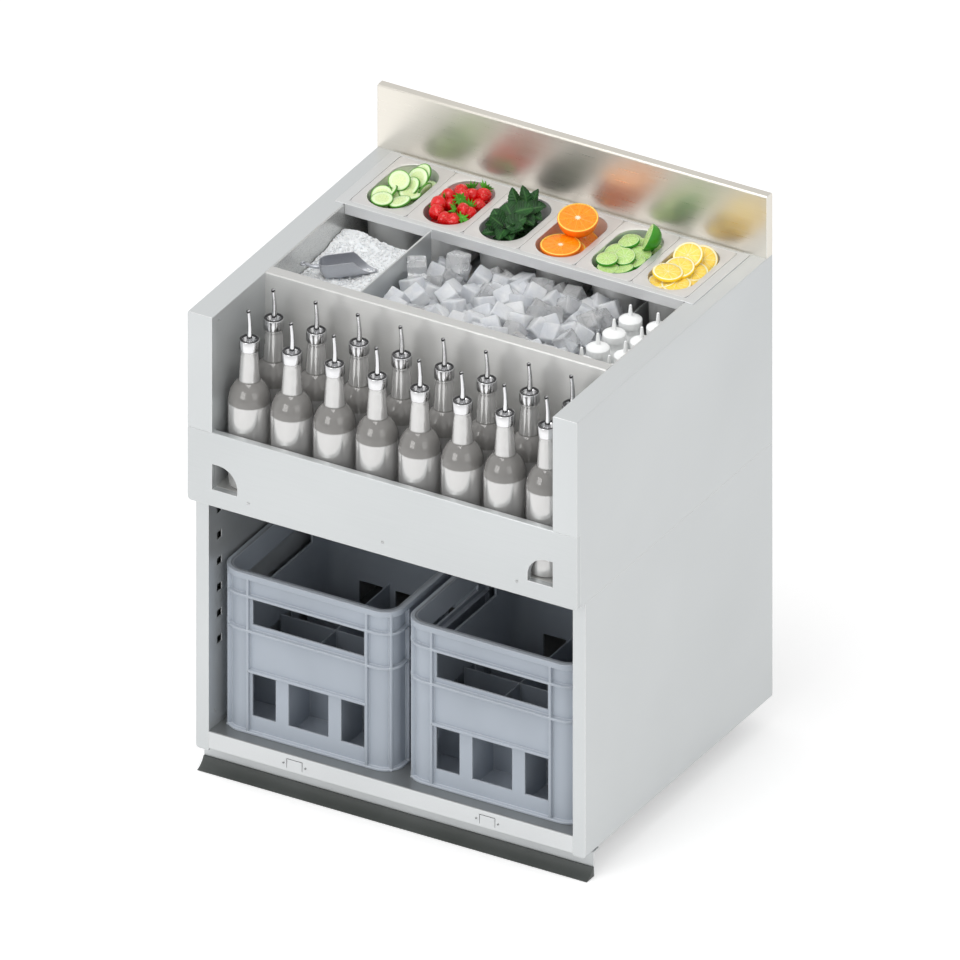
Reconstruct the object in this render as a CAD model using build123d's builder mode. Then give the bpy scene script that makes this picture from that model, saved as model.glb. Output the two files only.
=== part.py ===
from build123d import *
import math
import os

# Bar prep station: a double-skinned steel body with a bottle rail, an insulated ice well,
# a row of garnish cups and an upstand, over an open cabinet that holds two bottle crates.
# Millimetres, +Z up. The origin is on the floor, at the middle of the width and the depth.

os.makedirs("parts", exist_ok=True)

# Overall sizes
width = 800.0
depth = 695.0
worktop_height = 960.0
upstand_height = 127.5
upstand_thick = 20.0
upstand_radius = 4.0

# Steel sheet and the play between pieces
sheet = 1.5
bend_radius = 2.5
running_gap = 0.5
cut_over = 4.0

# Upper module
module_high = 386.0
cheek_wide = 50.0
panel_height = 150.0
panel_thick = 13.0
panel_corner_radius = 8.0
edge_radius = 2.0
cheek_hole_radius = 2.0
cheek_hole_back = 25.0
cheek_hole_down = 16.5

# Hand cut-outs at both ends of the front panel
cutout_wide = 52.0
cutout_high = 52.0
cutout_base = 34.0
cutout_radius = 40.0

# Panel screws
screw_pitch = 276.0
screw_head_radius = 3.0
screw_head_high = 1.0
screw_shank_radius = 1.6
screw_sides = 6
screw_down = 124.0

# Bottle rail
rail_floor_rise = 34.0
rail_wall_back = 191.0
rail_lip_wide = 20.5
rail_flange = 22.0

# Bottles and pourers
bottle_place_wide = 87.5
bottle_pitch_y = 87.0
bottle_first_back = 57.5
bottle_radius = 39.0
bottle_sides = 12
bottle_body_high = 160.0
bottle_neck_base = 205.0
bottle_neck_foot_radius = 18.5
bottle_neck_radius = 14.5
bottle_high = 272.0
cork_radius = 9.5
cork_deep = 24.0
collar_radius = 16.8
collar_high = 22.0
spout_base_radius = 5.5
spout_tip_radius = 2.4
spout_high = 56.0
collar_sides = 8
cork_sides = 6
spout_sides = 6

# Ice well
bin_rear_gap = 33.0
bin_below_cups = 140.0
bin_corner_radius = 6.0
casing_drop = 40.0
casing_flange = 24.0
drain_bore_radius = 15.0
drain_tube_radius = 19.0
drain_thread_deep = 0.3
drain_sides = 12
drain_flange_radius = 30.0
drain_flange_thick = 2.5
drain_tail = 55.0
drain_tail_land = 2.0
drain_nut_across = 56.0
drain_nut_high = 9.0

# Grate that keeps the ice off the floor of the well
grate_rise = 16.0
grate_foot_inset = 22.0
grate_slot_end_gap = 52.0
grate_slot_wide = 10.0
grate_columns = 8
grate_rows = 2

# Dividers of the ice well: the left one by the share of the width, the right one between two cups
divider_left_share = 0.28875
divider_right_shift = 2.2
divider_right_drop = 65.0
divider_bead_radius = 2.0

# Garnish frame
frame_overlap = 18.0
frame_deep = 202.0
frame_rear_gap = 24.0
frame_front_border = 12.0
frame_rear_border = 6.0
frame_side_border = 21.4
frame_drop = 20.0
frame_ledge = 7.0

# Garnish cups
cup_count = 6
cup_plate_corner = 3.0
cup_end_land = 9.0
cup_side_land = 12.7
cup_deep = 100.0
cup_draft = 4.0
cup_end_sides = 3
cup_wall = 1.2
cup_clear = 2.0

# Garnish heaps: how far each one ends below the rim of its cup, from left to right
heap_drops = {
    "cucumber_slices": 9.0,
    "strawberries": 8.0,
    "mint_leaves": 8.0,
    "orange_pieces": 20.0,
    "lime_pieces": 12.0,
    "lemon_slices": 10.0,
}
heap_crown = 6.0
heap_crown_inset = 14.0
heap_corner_share = 0.42

# Ice, given as falls below the rim of the well
ice_gap = 1.5
crushed_front_drop = 62.0
crushed_peak_drop = 48.0
crushed_rear_drop = 60.0
crushed_peak_share = 0.55
cubes_front_drop = 26.0
cubes_rear_drop = 70.0
cube_size = 27.0
cube_rise_share = 0.3
cube_lean = 23.0
cube_turn_x = 1.7
cube_turn_y = 2.3
cube_side_gap = 18.7
cube_rear_gap = 21.5
cube_columns = 6
cube_rows = 5

# Ice scoop
scoop_from_side = 112.0
scoop_back_share = 0.4258
scoop_turn = 25.0
scoop_radius = 31.0
scoop_sides = 12
scoop_long = 84.0
scoop_back_long = 16.0
scoop_back_radius = 17.0
scoop_wall = 1.6
scoop_lip_rise = 10.0
scoop_front_drop = 22.0
scoop_handle_long = 40.0
scoop_bed_gap = 0.4
scoop_handle_wide = 13.0
scoop_handle_thick = 5.0
scoop_handle_rise = 9.0
scoop_top_drop = 24.0

# Squeeze bottles
squeeze_place_wide = 57.5
squeeze_pitch_x = 57.0
squeeze_pitch_y = 58.0
squeeze_right_gap = 29.0
squeeze_front_gap = 41.0
squeeze_radius = 25.5
squeeze_sides = 9
squeeze_body_high = 150.0
squeeze_shoulder_high = 14.0
squeeze_neck_radius = 19.0
squeeze_neck_high = 8.0
squeeze_cap_radius = 21.5
squeeze_cap_high = 13.0
squeeze_cap_crown = 6.0
squeeze_crown_radius = 9.0
squeeze_nozzle_base_radius = 4.2
squeeze_nozzle_tip_radius = 2.2
squeeze_nozzle_high = 23.0

# Lower cabinet
cabinet_setback = 30.0
cabinet_base = 50.0
side_thick = 26.0
side_corner_radius = 7.0
shelf_top = 89.5
shelf_flange = 35.0
back_flange = 15.0
rack_slot_wide = 16.0
rack_slot_high = 14.5
rack_slot_pitch = 53.4
rack_slots = 6
rack_slot_drop = 46.0
rack_slot_inset = 38.0
side_hole_radius = 2.5
side_hole_inset = 21.0
side_hole_height = 123.0

# Spring tabs cut in the front flange of the base shelf
tab_offset = 198.0
tab_wide = 33.0
tab_high = 19.0
tab_slit = 1.2
tab_below_top = 9.5
tab_stud_offset = 22.5
tab_stud_radius = 2.2
tab_stud_rise = 1.0
tab_stud_below_top = 20.0

# Top rails of the cabinet
top_rail_high = 24.0
top_rail_deep = 40.0
top_rail_front_gap = 12.0
top_rail_rear_gap = 22.0

# Plinth
kick_setback = 60.0
kick_return = 20.0
cove_radius = 33.0
cove_high = 19.0
cove_toe = 0.8

# Levelling feet
foot_inset_x = 70.0
foot_front_gap = 52.0
foot_rear_gap = 55.0
foot_pad_radius = 24.0
foot_pad_high = 9.0
foot_pad_top_radius = 17.0
foot_stem_radius = 6.0
foot_stem_top = 82.0
foot_socket_radius = 15.0
foot_socket_high = 36.0
foot_stem_gap = 0.35
foot_pad_sides = 10
foot_stem_sides = 6

# Bottle crates
crate_gap = 17.5
crate_end_gap = 5.25
crate_deep = 400.0
crate_headroom = 133.0
crate_corner_radius = 40.0
crate_corner_sides = 3
crate_wall = 4.0
crate_floor = 4.0
crate_behind_front = 26.0
crate_rib = 8.0
crate_rib_wide = 5.0
crate_rib_recess = 0.4
crate_rim_high = 12.0
crate_rib_from_end = 58.0
crate_band_shares = (0.858, 0.6412, 0.3924)
crate_grip_base_share = 0.6779
crate_grip_high_share = 0.171
crate_window_base_share = 0.1069
crate_window_high_share = 0.2687
crate_opening_inset = 7.5
crate_window_share = 0.228
crate_side_window_share = 0.133
crate_window_pitch_share = 0.253
crate_divider_high_share = 0.4061
crate_divider_thick = 2.5
crate_cells = 3
crate_cell_rows = 4
crate_cell_share = 0.3
crate_cell_row_share = 0.235

# Places worked out from the sizes above
half_width = width / 2
front = -depth / 2
rear = depth / 2
inner_half = half_width - cheek_wide
rim = worktop_height
module_base = worktop_height - module_high
panel_top = module_base + panel_height
rail_floor_height = module_base + rail_floor_rise
bottles_in_row = int(2 * inner_half // bottle_place_wide)
bottle_pitch_x = 2 * inner_half / bottles_in_row
bin_front_back = rail_wall_back + rail_lip_wide + sheet
bin_back = depth - bin_rear_gap
bin_top = worktop_height - sheet
bin_floor_height = worktop_height - cup_deep - bin_below_cups
frame_rear_back = depth - frame_rear_gap
frame_front_back = frame_rear_back - frame_deep
frame_half = inner_half + frame_overlap
frame_open_half = frame_half - frame_side_border
cup_pitch = 2 * (frame_open_half - running_gap) / cup_count
cup_wide = cup_pitch - 2 * cup_side_land
cup_long = frame_deep - frame_front_border - frame_rear_border - 2 * cup_end_land
divider_left_at = width * divider_left_share
divider_right_at = half_width + cup_pitch * (cup_count / 2 - 1) + divider_right_shift
side_inner_half = half_width - side_thick
cabinet_front = front + cabinet_setback
cabinet_deep = depth - cabinet_setback
top_rail_front_back = cabinet_setback + top_rail_front_gap
top_rail_rear_back = depth - top_rail_rear_gap - top_rail_deep
foot_front_back = kick_setback + foot_front_gap
foot_rear_back = depth - foot_rear_gap
crate_setback = cabinet_setback + crate_behind_front
crate_high = module_base - shelf_top - top_rail_high - crate_headroom
crate_band_levels = [share * crate_high for share in crate_band_shares]
crate_grip_base = crate_grip_base_share * crate_high
crate_grip_high = crate_grip_high_share * crate_high
crate_window_base = crate_window_base_share * crate_high
crate_window_high = crate_window_high_share * crate_high
crate_wide = side_inner_half - crate_gap / 2 - crate_end_gap
crate_rib_x = crate_wide / 2 - crate_rib_from_end
crate_rib_y = crate_deep / 2 - crate_rib_from_end


def across(distance):
    """X of a place measured from the left outer side."""
    return distance - half_width


def behind(distance):
    """Y of a place measured back from the front face."""
    return front + distance


def block(low, high, mode=Mode.ADD):
    """A block between two corners."""
    middle = [(a + b) / 2 for a, b in zip(low, high)]
    size = [b - a for a, b in zip(low, high)]
    with Locations(tuple(middle)):
        Box(*size, mode=mode)


def folded(points, side=Side.LEFT, bent=True):
    """The face of a folded sheet that follows the points, with square folds where it is out of sight."""
    with BuildLine() as outline:
        if bent:
            FilletPolyline(*points, radius=bend_radius)
        else:
            Polyline(*points)
        offset(amount=sheet, side=side)
    make_face(outline.edges())


def rounded(wide, long, radius, flats):
    """Points of a rectangle whose round corners are drawn as short flats."""
    points = []
    for quarter, (hand_x, hand_y) in enumerate(((1, 1), (-1, 1), (-1, -1), (1, -1))):
        for step in range(flats + 1):
            turn = math.pi / 2 * (quarter + step / flats)
            point = (
                hand_x * (wide / 2 - radius) + radius * math.cos(turn),
                hand_y * (long / 2 - radius) + radius * math.sin(turn),
            )
            if not points or math.dist(points[-1], point) > running_gap:
                points.append(point)
    return points


def turned(sides, levels):
    """An upright form through the given heights and radii, with flats in place of a round."""
    with BuildPart() as form:
        for (low, low_radius), (high, high_radius) in zip(levels, levels[1:]):
            inset = (low_radius - high_radius) * math.cos(math.pi / sides)
            with BuildSketch(Plane.XY.offset(low)):
                RegularPolygon(low_radius, sides)
            extrude(amount=high - low, taper=math.degrees(math.atan2(inset, high - low)))
    return form.part


def keep(node, name):
    """Label a finished piece and write it."""
    node.part.label = name
    export_step(node.part, f"parts/{name}.step")


# Side panels of the lower cabinet: pans with an outer and an inner skin
def side_panel(hand, name):
    outer_x = hand * half_width
    inner_x = hand * side_inner_half
    slot_y = cabinet_front + rack_slot_inset
    slot_middle = module_base - rack_slot_drop - rack_slot_pitch * (rack_slots - 1) / 2
    with BuildPart() as panel:
        with BuildSketch(Plane.XZ.offset(-cabinet_front)):
            with Locations(((outer_x + inner_x) / 2, (module_base + cabinet_base) / 2)):
                Rectangle(side_thick, module_base - cabinet_base)
        extrude(amount=-cabinet_deep)
        bottom_edges = panel.edges().filter_by(Axis.Y).group_by(Axis.Z)[0]
        fillet(bottom_edges.sort_by(Axis.X)[0 if hand < 0 else -1], radius=side_corner_radius)
        offset(amount=-sheet, openings=panel.faces().sort_by(Axis.Z)[-1])
        with BuildSketch(Plane.YZ.offset(inner_x - hand * cut_over / 2)):
            with Locations((slot_y, slot_middle)):
                with GridLocations(0, rack_slot_pitch, 1, rack_slots):
                    Rectangle(rack_slot_wide, rack_slot_high)
            with Locations((cabinet_front + side_hole_inset, side_hole_height)):
                RegularPolygon(side_hole_radius, screw_sides)
        extrude(amount=hand * cut_over, mode=Mode.SUBTRACT)
    keep(panel, name)


side_panel(-1, "side_panel_left")
side_panel(1, "side_panel_right")


# Base shelf: a pan turned down at the front and the rear, with two spring tabs in the front
with BuildPart() as base_shelf:
    with BuildSketch(Plane.YZ):
        folded([
            (cabinet_front, shelf_top - shelf_flange),
            (cabinet_front, shelf_top),
            (rear, shelf_top),
            (rear, shelf_top - shelf_flange),
        ], Side.RIGHT)
    extrude(amount=side_inner_half, both=True)
    with BuildSketch(Plane.XZ.offset(-cabinet_front + cut_over / 2)):
        with GridLocations(2 * tab_offset, 0, 2, 1):
            with Locations((0, shelf_top - tab_below_top)):
                Rectangle(tab_wide, tab_high, align=(Align.CENTER, Align.MAX))
            with Locations((0, shelf_top - tab_below_top - tab_slit)):
                Rectangle(tab_wide - 2 * tab_slit, tab_high - tab_slit,
                          align=(Align.CENTER, Align.MAX), mode=Mode.SUBTRACT)
    extrude(amount=-cut_over, mode=Mode.SUBTRACT)
keep(base_shelf, "base_shelf")

# Rivet heads beside each spring tab
with BuildPart() as tab_studs:
    with BuildSketch(Plane.XZ.offset(-cabinet_front)):
        with Locations((0, shelf_top - tab_stud_below_top)):
            with GridLocations(2 * tab_offset, 0, 2, 1):
                with GridLocations(2 * tab_stud_offset, 0, 2, 1):
                    RegularPolygon(tab_stud_radius, screw_sides)
    extrude(amount=tab_stud_rise)
keep(tab_studs, "tab_studs")

# Back panel: a sheet flanged forward at both sides, standing on the shelf
with BuildPart() as back_panel:
    with BuildSketch(Plane.XY.offset(shelf_top)):
        folded([
            (-side_inner_half, rear - back_flange),
            (-side_inner_half, rear),
            (side_inner_half, rear),
            (side_inner_half, rear - back_flange),
        ], Side.RIGHT, bent=False)
    extrude(amount=module_base - shelf_top)
keep(back_panel, "back_panel")


# Top rails: channels that hold the side panels apart
def top_rail(distance, name):
    low = module_base - top_rail_high
    with BuildPart() as rail:
        with BuildSketch(Plane.YZ):
            folded([
                (behind(distance), low),
                (behind(distance), module_base),
                (behind(distance + top_rail_deep), module_base),
                (behind(distance + top_rail_deep), low),
            ], Side.RIGHT, bent=False)
        extrude(amount=side_inner_half, both=True)
    keep(rail, name)


top_rail(top_rail_front_back, "top_rail_front")
top_rail(top_rail_rear_back, "top_rail_rear")

# Plinth: a kick board with a return at its top, and a coved skirting at its foot
with BuildPart() as kick_board:
    with BuildSketch(Plane.YZ):
        folded([
            (behind(kick_setback), 0),
            (behind(kick_setback), cabinet_base),
            (behind(kick_setback + kick_return), cabinet_base),
        ], Side.RIGHT)
    extrude(amount=half_width, both=True)
keep(kick_board, "kick_board")

with BuildPart() as cove_skirting:
    cove_centre_y = behind(kick_setback) - cove_radius
    toe_rise = cove_radius - cove_toe
    cove_top_y = cove_centre_y + math.sqrt(cove_radius**2 - (cove_radius - cove_high) ** 2)
    toe_y = cove_centre_y + math.sqrt(cove_radius**2 - toe_rise**2)
    with BuildSketch(Plane.YZ):
        with BuildLine():
            Polyline(
                (toe_y, cove_toe), (toe_y, 0), (behind(kick_setback), 0),
                (behind(kick_setback), cove_high), (cove_top_y, cove_high),
            )
            RadiusArc((toe_y, cove_toe), (cove_top_y, cove_high), -cove_radius)
        make_face()
    extrude(amount=half_width, both=True)
keep(cove_skirting, "cove_skirting")

# Foot sockets under the shelf, and the screwed levelling feet that stand in them
foot_places = [
    (hand * (half_width - foot_inset_x), behind(distance))
    for distance in (foot_front_back, foot_rear_back)
    for hand in (-1, 1)
]
socket_top = shelf_top - sheet
with BuildPart() as foot_sockets:
    with BuildSketch(Plane.XY.offset(socket_top - foot_socket_high)):
        with Locations(*foot_places):
            RegularPolygon(foot_socket_radius, 6)
            RegularPolygon(foot_stem_radius + foot_stem_gap, foot_stem_sides, mode=Mode.SUBTRACT)
    extrude(amount=foot_socket_high)
keep(foot_sockets, "foot_sockets")

foot_form = turned(foot_pad_sides, [
    (0, foot_pad_radius), (foot_pad_high / 2, foot_pad_radius), (foot_pad_high, foot_pad_top_radius),
]) + turned(foot_stem_sides, [(foot_pad_high / 2, foot_stem_radius), (foot_stem_top, foot_stem_radius)])
for foot_place, foot_name in zip(foot_places, ("front_left", "front_right", "rear_left", "rear_right")):
    with BuildPart() as foot:
        with Locations((*foot_place, 0)):
            add(foot_form)
    keep(foot, f"foot_{foot_name}")


# Cheeks: the thick hollow sides of the upper module, stepped to take the front panel
def cheek(hand, name):
    low_x = min(hand * half_width, hand * inner_half)
    with BuildPart() as side:
        with BuildSketch(Plane.YZ.offset(low_x)):
            Polygon(
                (behind(panel_thick), module_base), (rear, module_base), (rear, rim), (front, rim),
                (front, panel_top), (behind(panel_thick), panel_top), align=None,
            )
        extrude(amount=cheek_wide)
        fillet(side.edges().group_by(Axis.Z)[-1].filter_by(Axis.Y), radius=edge_radius)
        offset(amount=-sheet, openings=side.faces().sort_by(Axis.Z)[0])
        with BuildSketch(Plane.YZ.offset(hand * (inner_half - cut_over / 2))):
            with Locations((behind(cheek_hole_back), rim - cheek_hole_down)):
                RegularPolygon(cheek_hole_radius, screw_sides)
        extrude(amount=hand * cut_over, mode=Mode.SUBTRACT)
    keep(side, name)


cheek(-1, "cheek_left")
cheek(1, "cheek_right")


def hand_cutout(hand, grow=0.0):
    """The outline of one hand cut-out, square at the cheek and round at its inner top corner."""
    with BuildSketch() as shape:
        middle = hand * (inner_half - cutout_wide / 2)
        with Locations((middle, module_base + cutout_base + cutout_high / 2)):
            Rectangle(cutout_wide + 2 * grow, cutout_high + 2 * grow)
        top_corners = shape.vertices().group_by(Axis.Y)[-1]
        fillet(top_corners.sort_by(Axis.X)[-1 if hand < 0 else 0], radius=cutout_radius + grow)
    return shape.sketch


# Front panel: two skins joined round the edge and round the cut-outs, open at the bottom
with BuildPart() as front_panel:
    with BuildSketch(Plane.XZ.offset(-front)) as panel_outline:
        with Locations((0, module_base + panel_height / 2)):
            Rectangle(width, panel_height)
        fillet(panel_outline.vertices().group_by(Axis.Y)[0], radius=panel_corner_radius)
        for hand in (-1, 1):
            add(hand_cutout(hand), mode=Mode.SUBTRACT)
    extrude(amount=-panel_thick)
    fillet(front_panel.edges().filter_by(Axis.X).group_by(Axis.Z)[-1].sort_by(Axis.Y)[0],
           radius=edge_radius)
    with BuildSketch(Plane.XZ.offset(-front - sheet)) as panel_hollow:
        with Locations((0, module_base + panel_height / 2)):
            Rectangle(width - 2 * sheet, panel_height - 2 * sheet)
        fillet(panel_hollow.vertices().group_by(Axis.Y)[0], radius=panel_corner_radius - sheet)
        with Locations((0, module_base + sheet)):
            Rectangle(width - 2 * panel_corner_radius, 2 * cut_over)
        for hand in (-1, 1):
            add(hand_cutout(hand, sheet), mode=Mode.SUBTRACT)
    extrude(amount=-(panel_thick - 2 * sheet), mode=Mode.SUBTRACT)
    with BuildSketch(Plane.XZ.offset(-front)):
        with Locations((0, panel_top - screw_down)):
            with GridLocations(screw_pitch, 0, 3, 1):
                RegularPolygon(screw_shank_radius, screw_sides)
    extrude(amount=-panel_thick, mode=Mode.SUBTRACT)
keep(front_panel, "front_panel")

# Low-headed screws that hold the panel to the flange of the bottle rail
with BuildPart() as panel_screws:
    for radius, low, high in (
        (screw_head_radius, front, screw_head_high),
        (screw_shank_radius, front, -(panel_thick + 2 * sheet)),
    ):
        with BuildSketch(Plane.XZ.offset(-low)):
            with Locations((0, panel_top - screw_down)):
                with GridLocations(screw_pitch, 0, 3, 1):
                    RegularPolygon(radius, screw_sides)
        extrude(amount=high)
keep(panel_screws, "panel_screws")

# Bottle rail: one folded sheet from the front flange over the floor and the rear wall to the lip
rail_wall_front = behind(rail_wall_back - sheet)
with BuildPart() as bottle_rail:
    with BuildSketch(Plane.YZ):
        folded([
            (behind(panel_thick), rail_floor_height - rail_flange),
            (behind(panel_thick), rail_floor_height),
            (rail_wall_front, rail_floor_height),
            (rail_wall_front, rim),
            (behind(bin_front_back), rim),
        ], Side.RIGHT)
    extrude(amount=inner_half, both=True)
    with BuildSketch(Plane.XZ.offset(-behind(panel_thick) + cut_over)):
        with Locations((0, panel_top - screw_down)):
            with GridLocations(screw_pitch, 0, 3, 1):
                RegularPolygon(screw_shank_radius, screw_sides)
    extrude(amount=-2 * cut_over, mode=Mode.SUBTRACT)
keep(bottle_rail, "bottle_rail")

# A bottle: body, sloping shoulder and tapered neck, with a bore for the cork
bottle_form = turned(bottle_sides, [
    (0, bottle_radius), (bottle_body_high, bottle_radius), (bottle_neck_base, bottle_neck_foot_radius),
    (bottle_high, bottle_neck_radius),
])
cork_form = turned(cork_sides, [(bottle_high - cork_deep, cork_radius), (bottle_high, cork_radius)])
bottle_form -= cork_form

# A pourer: cork, collar and tapered spout
collar_top = bottle_high + collar_high
pourer_form = cork_form + turned(collar_sides, [(bottle_high, collar_radius), (collar_top, collar_radius)])
pourer_form += turned(
    spout_sides, [(collar_top, spout_base_radius), (collar_top + spout_high, spout_tip_radius)]
)


def bottle_places(row):
    """Where the bottles of one row stand on the floor of the rail."""
    first = -bottle_pitch_x * (bottles_in_row - 1) / 2
    y = behind(bottle_first_back + row * bottle_pitch_y)
    return [(first + bottle_pitch_x * k, y, rail_floor_height) for k in range(bottles_in_row)]


for row, row_name in enumerate(("front", "rear")):
    for form, kind in ((bottle_form, "bottles"), (pourer_form, "pourers")):
        with BuildPart() as group:
            with Locations(*bottle_places(row)):
                add(form)
        keep(group, f"{kind}_{row_name}_row")

# Ice well: a folded liner with welded ends, foam round it, and a casing that closes the foam
bin_middle_y = (behind(bin_front_back - sheet) + behind(bin_back)) / 2
bin_length_y = bin_back - bin_front_back + sheet
with BuildPart() as ice_bin:
    with BuildSketch(Plane.XY.offset(bin_floor_height - sheet)):
        with Locations((0, bin_middle_y)):
            Rectangle(2 * inner_half, bin_length_y)
    extrude(amount=bin_top - bin_floor_height + sheet)
    fillet(ice_bin.edges().group_by(Axis.Z)[0].filter_by(Axis.X), radius=bin_corner_radius)
    offset(amount=-sheet, openings=ice_bin.faces().sort_by(Axis.Z)[-1])
    with BuildSketch(Plane.XY.offset(bin_floor_height - cut_over)):
        with Locations((0, bin_middle_y)):
            RegularPolygon(drain_tube_radius, drain_sides, major_radius=False)
    extrude(amount=2 * cut_over, mode=Mode.SUBTRACT)
keep(ice_bin, "ice_bin")

foam_base = bin_floor_height - sheet - casing_drop
with BuildPart() as bin_insulation:
    with BuildSketch(Plane.YZ) as foam_section:
        Polygon(
            (behind(rail_wall_back), foam_base), (rear - sheet, foam_base), (rear - sheet, bin_top),
            (behind(bin_back), bin_top), (behind(bin_back), bin_floor_height - sheet),
            (behind(bin_front_back - sheet), bin_floor_height - sheet),
            (behind(bin_front_back - sheet), bin_top), (behind(rail_wall_back), bin_top), align=None,
        )
        chamfer(foam_section.vertices().group_by(Axis.X)[0], length=bend_radius)
    extrude(amount=inner_half, both=True)
    with BuildSketch(Plane.XY.offset(foam_base)):
        with Locations((0, bin_middle_y)):
            RegularPolygon(drain_tube_radius, drain_sides, major_radius=False)
    extrude(amount=casing_drop, mode=Mode.SUBTRACT)
keep(bin_insulation, "bin_insulation")

with BuildPart() as bin_casing:
    with BuildSketch(Plane.YZ):
        folded([
            (behind(rail_wall_back) + sheet, foam_base - sheet - casing_flange),
            (behind(rail_wall_back) + sheet, foam_base - sheet),
            (rear, foam_base - sheet),
            (rear, bin_top),
        ], bent=False)
    extrude(amount=inner_half, both=True)
    with BuildSketch(Plane.XY.offset(foam_base - cut_over)):
        with Locations((0, bin_middle_y)):
            RegularPolygon(drain_tube_radius, drain_sides, major_radius=False)
    extrude(amount=2 * cut_over, mode=Mode.SUBTRACT)
keep(bin_casing, "bin_casing")

# Rear ledge: closes the top behind the well and carries the upstand and the cups' rear edges
with BuildPart() as rear_ledge:
    with BuildSketch(Plane.YZ):
        Polygon(
            (behind(frame_rear_back - frame_rear_border - frame_ledge), bin_top), (rear, bin_top),
            (rear, rim), (behind(frame_rear_back - frame_rear_border - frame_ledge), rim), align=None,
        )
    extrude(amount=inner_half, both=True)
keep(rear_ledge, "rear_ledge")

# Drain: a flanged tube through the floor of the well, held by a nut under the casing
drain_low = foam_base - sheet - drain_tail
drain_round_top = drain_low + drain_tail - drain_nut_high - drain_tail_land
with BuildPart() as drain_fitting:
    with Locations((0, bin_middle_y, 0)):
        add(turned(drain_sides, [
            (bin_floor_height, drain_flange_radius),
            (bin_floor_height + drain_flange_thick, drain_flange_radius),
        ]))
    with BuildSketch(Plane.XY.offset(drain_low)):
        with Locations((0, bin_middle_y)):
            Circle(drain_tube_radius)
    extrude(amount=drain_round_top - drain_low)
    with BuildSketch(Plane.XY.offset(drain_round_top)):
        with Locations((0, bin_middle_y)):
            RegularPolygon(drain_tube_radius - drain_thread_deep, drain_sides, major_radius=False)
    extrude(amount=bin_floor_height - drain_round_top)
    with Locations((0, bin_middle_y, 0)):
        add(turned(drain_sides, [
            (drain_low, drain_bore_radius), (bin_floor_height + drain_flange_thick, drain_bore_radius),
        ]), mode=Mode.SUBTRACT)
keep(drain_fitting, "drain_fitting")

with BuildPart() as drain_nut:
    with BuildSketch(Plane.XY.offset(foam_base - sheet - drain_nut_high)):
        with Locations((0, bin_middle_y)):
            RegularPolygon(drain_nut_across / 2, 6, major_radius=False)
            RegularPolygon(drain_tube_radius, drain_sides, major_radius=False, mode=Mode.SUBTRACT)
    extrude(amount=drain_nut_high)
keep(drain_nut, "drain_nut")

# Grate: a slotted false floor on two feet, so that melt water runs off under the ice
grate_top = bin_floor_height + grate_rise
grate_half_x = inner_half - sheet - running_gap
grate_front = behind(bin_front_back) + running_gap
grate_rear = behind(bin_back) - sheet - running_gap
grate_slot_pitch_x = 2 * grate_half_x / (grate_columns + 1 / 2)
grate_slot_pitch_y = (grate_rear - grate_front) / grate_rows
grate_slot_long = grate_slot_pitch_y - grate_slot_end_gap
with BuildPart() as drain_grate:
    with BuildSketch(Plane.XY.offset(grate_top - sheet)):
        with Locations((0, (grate_front + grate_rear) / 2)):
            Rectangle(2 * grate_half_x, grate_rear - grate_front)
            with GridLocations(grate_slot_pitch_x, grate_slot_pitch_y, grate_columns, grate_rows):
                Rectangle(grate_slot_wide, grate_slot_long, mode=Mode.SUBTRACT)
    extrude(amount=sheet)
    for foot_y in (grate_front + grate_foot_inset, grate_rear - grate_foot_inset - sheet):
        block(
            (grate_foot_inset - grate_half_x, foot_y, bin_floor_height),
            (grate_half_x - grate_foot_inset, foot_y + sheet, grate_top),
        )
keep(drain_grate, "drain_grate")


# Dividers: upright sheets with a beaded top edge
def divider(distance, back_end, top, name):
    x = across(distance)
    with BuildPart() as wall:
        with BuildSketch(Plane.XZ.offset(-grate_front)):
            with Locations((x, (grate_top + top - divider_bead_radius) / 2)):
                Rectangle(sheet, top - divider_bead_radius - grate_top)
            with Locations((x, top - divider_bead_radius)):
                RegularPolygon(divider_bead_radius, screw_sides)
        extrude(amount=-(back_end - grate_front))
    keep(wall, name)


divider_back_end = behind(frame_front_back) - 2 * sheet
divider(divider_left_at, divider_back_end, rim, "divider_left")
divider(divider_right_at, grate_rear, rim - divider_right_drop, "divider_right")

# Garnish frame: a flat rim with a turned-down front and a ledge for the cups
frame_front_y = behind(frame_front_back)
frame_rear_y = behind(frame_rear_back)
frame_open_front = frame_front_y + frame_front_border
frame_open_rear = frame_rear_y - frame_rear_border
frame_drop_half = inner_half - sheet - running_gap
with BuildPart() as garnish_frame:
    with BuildSketch(Plane.XY.offset(rim)):
        with Locations((0, (frame_front_y + frame_rear_y) / 2)):
            Rectangle(2 * frame_half, frame_rear_y - frame_front_y)
        with Locations((0, (frame_open_front + frame_open_rear) / 2)):
            Rectangle(2 * frame_open_half, frame_open_rear - frame_open_front, mode=Mode.SUBTRACT)
    extrude(amount=sheet)
    with BuildSketch(Plane.YZ):
        Polygon(
            (frame_front_y, rim - frame_drop), (frame_front_y + sheet, rim - frame_drop),
            (frame_front_y + sheet, rim - sheet), (frame_open_front + frame_ledge, rim - sheet),
            (frame_open_front + frame_ledge, rim), (frame_front_y, rim), align=None,
        )
    extrude(amount=frame_drop_half, both=True)
    fillet(garnish_frame.edges().filter_by(Axis.X).group_by(Axis.Z)[-1].sort_by(Axis.Y)[0],
           radius=sheet / 2)
keep(garnish_frame, "garnish_frame")

# Garnish cups: a flat plate with a deep drafted cup under its long opening
cup_middle_y = (frame_open_front + frame_open_rear) / 2


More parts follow.
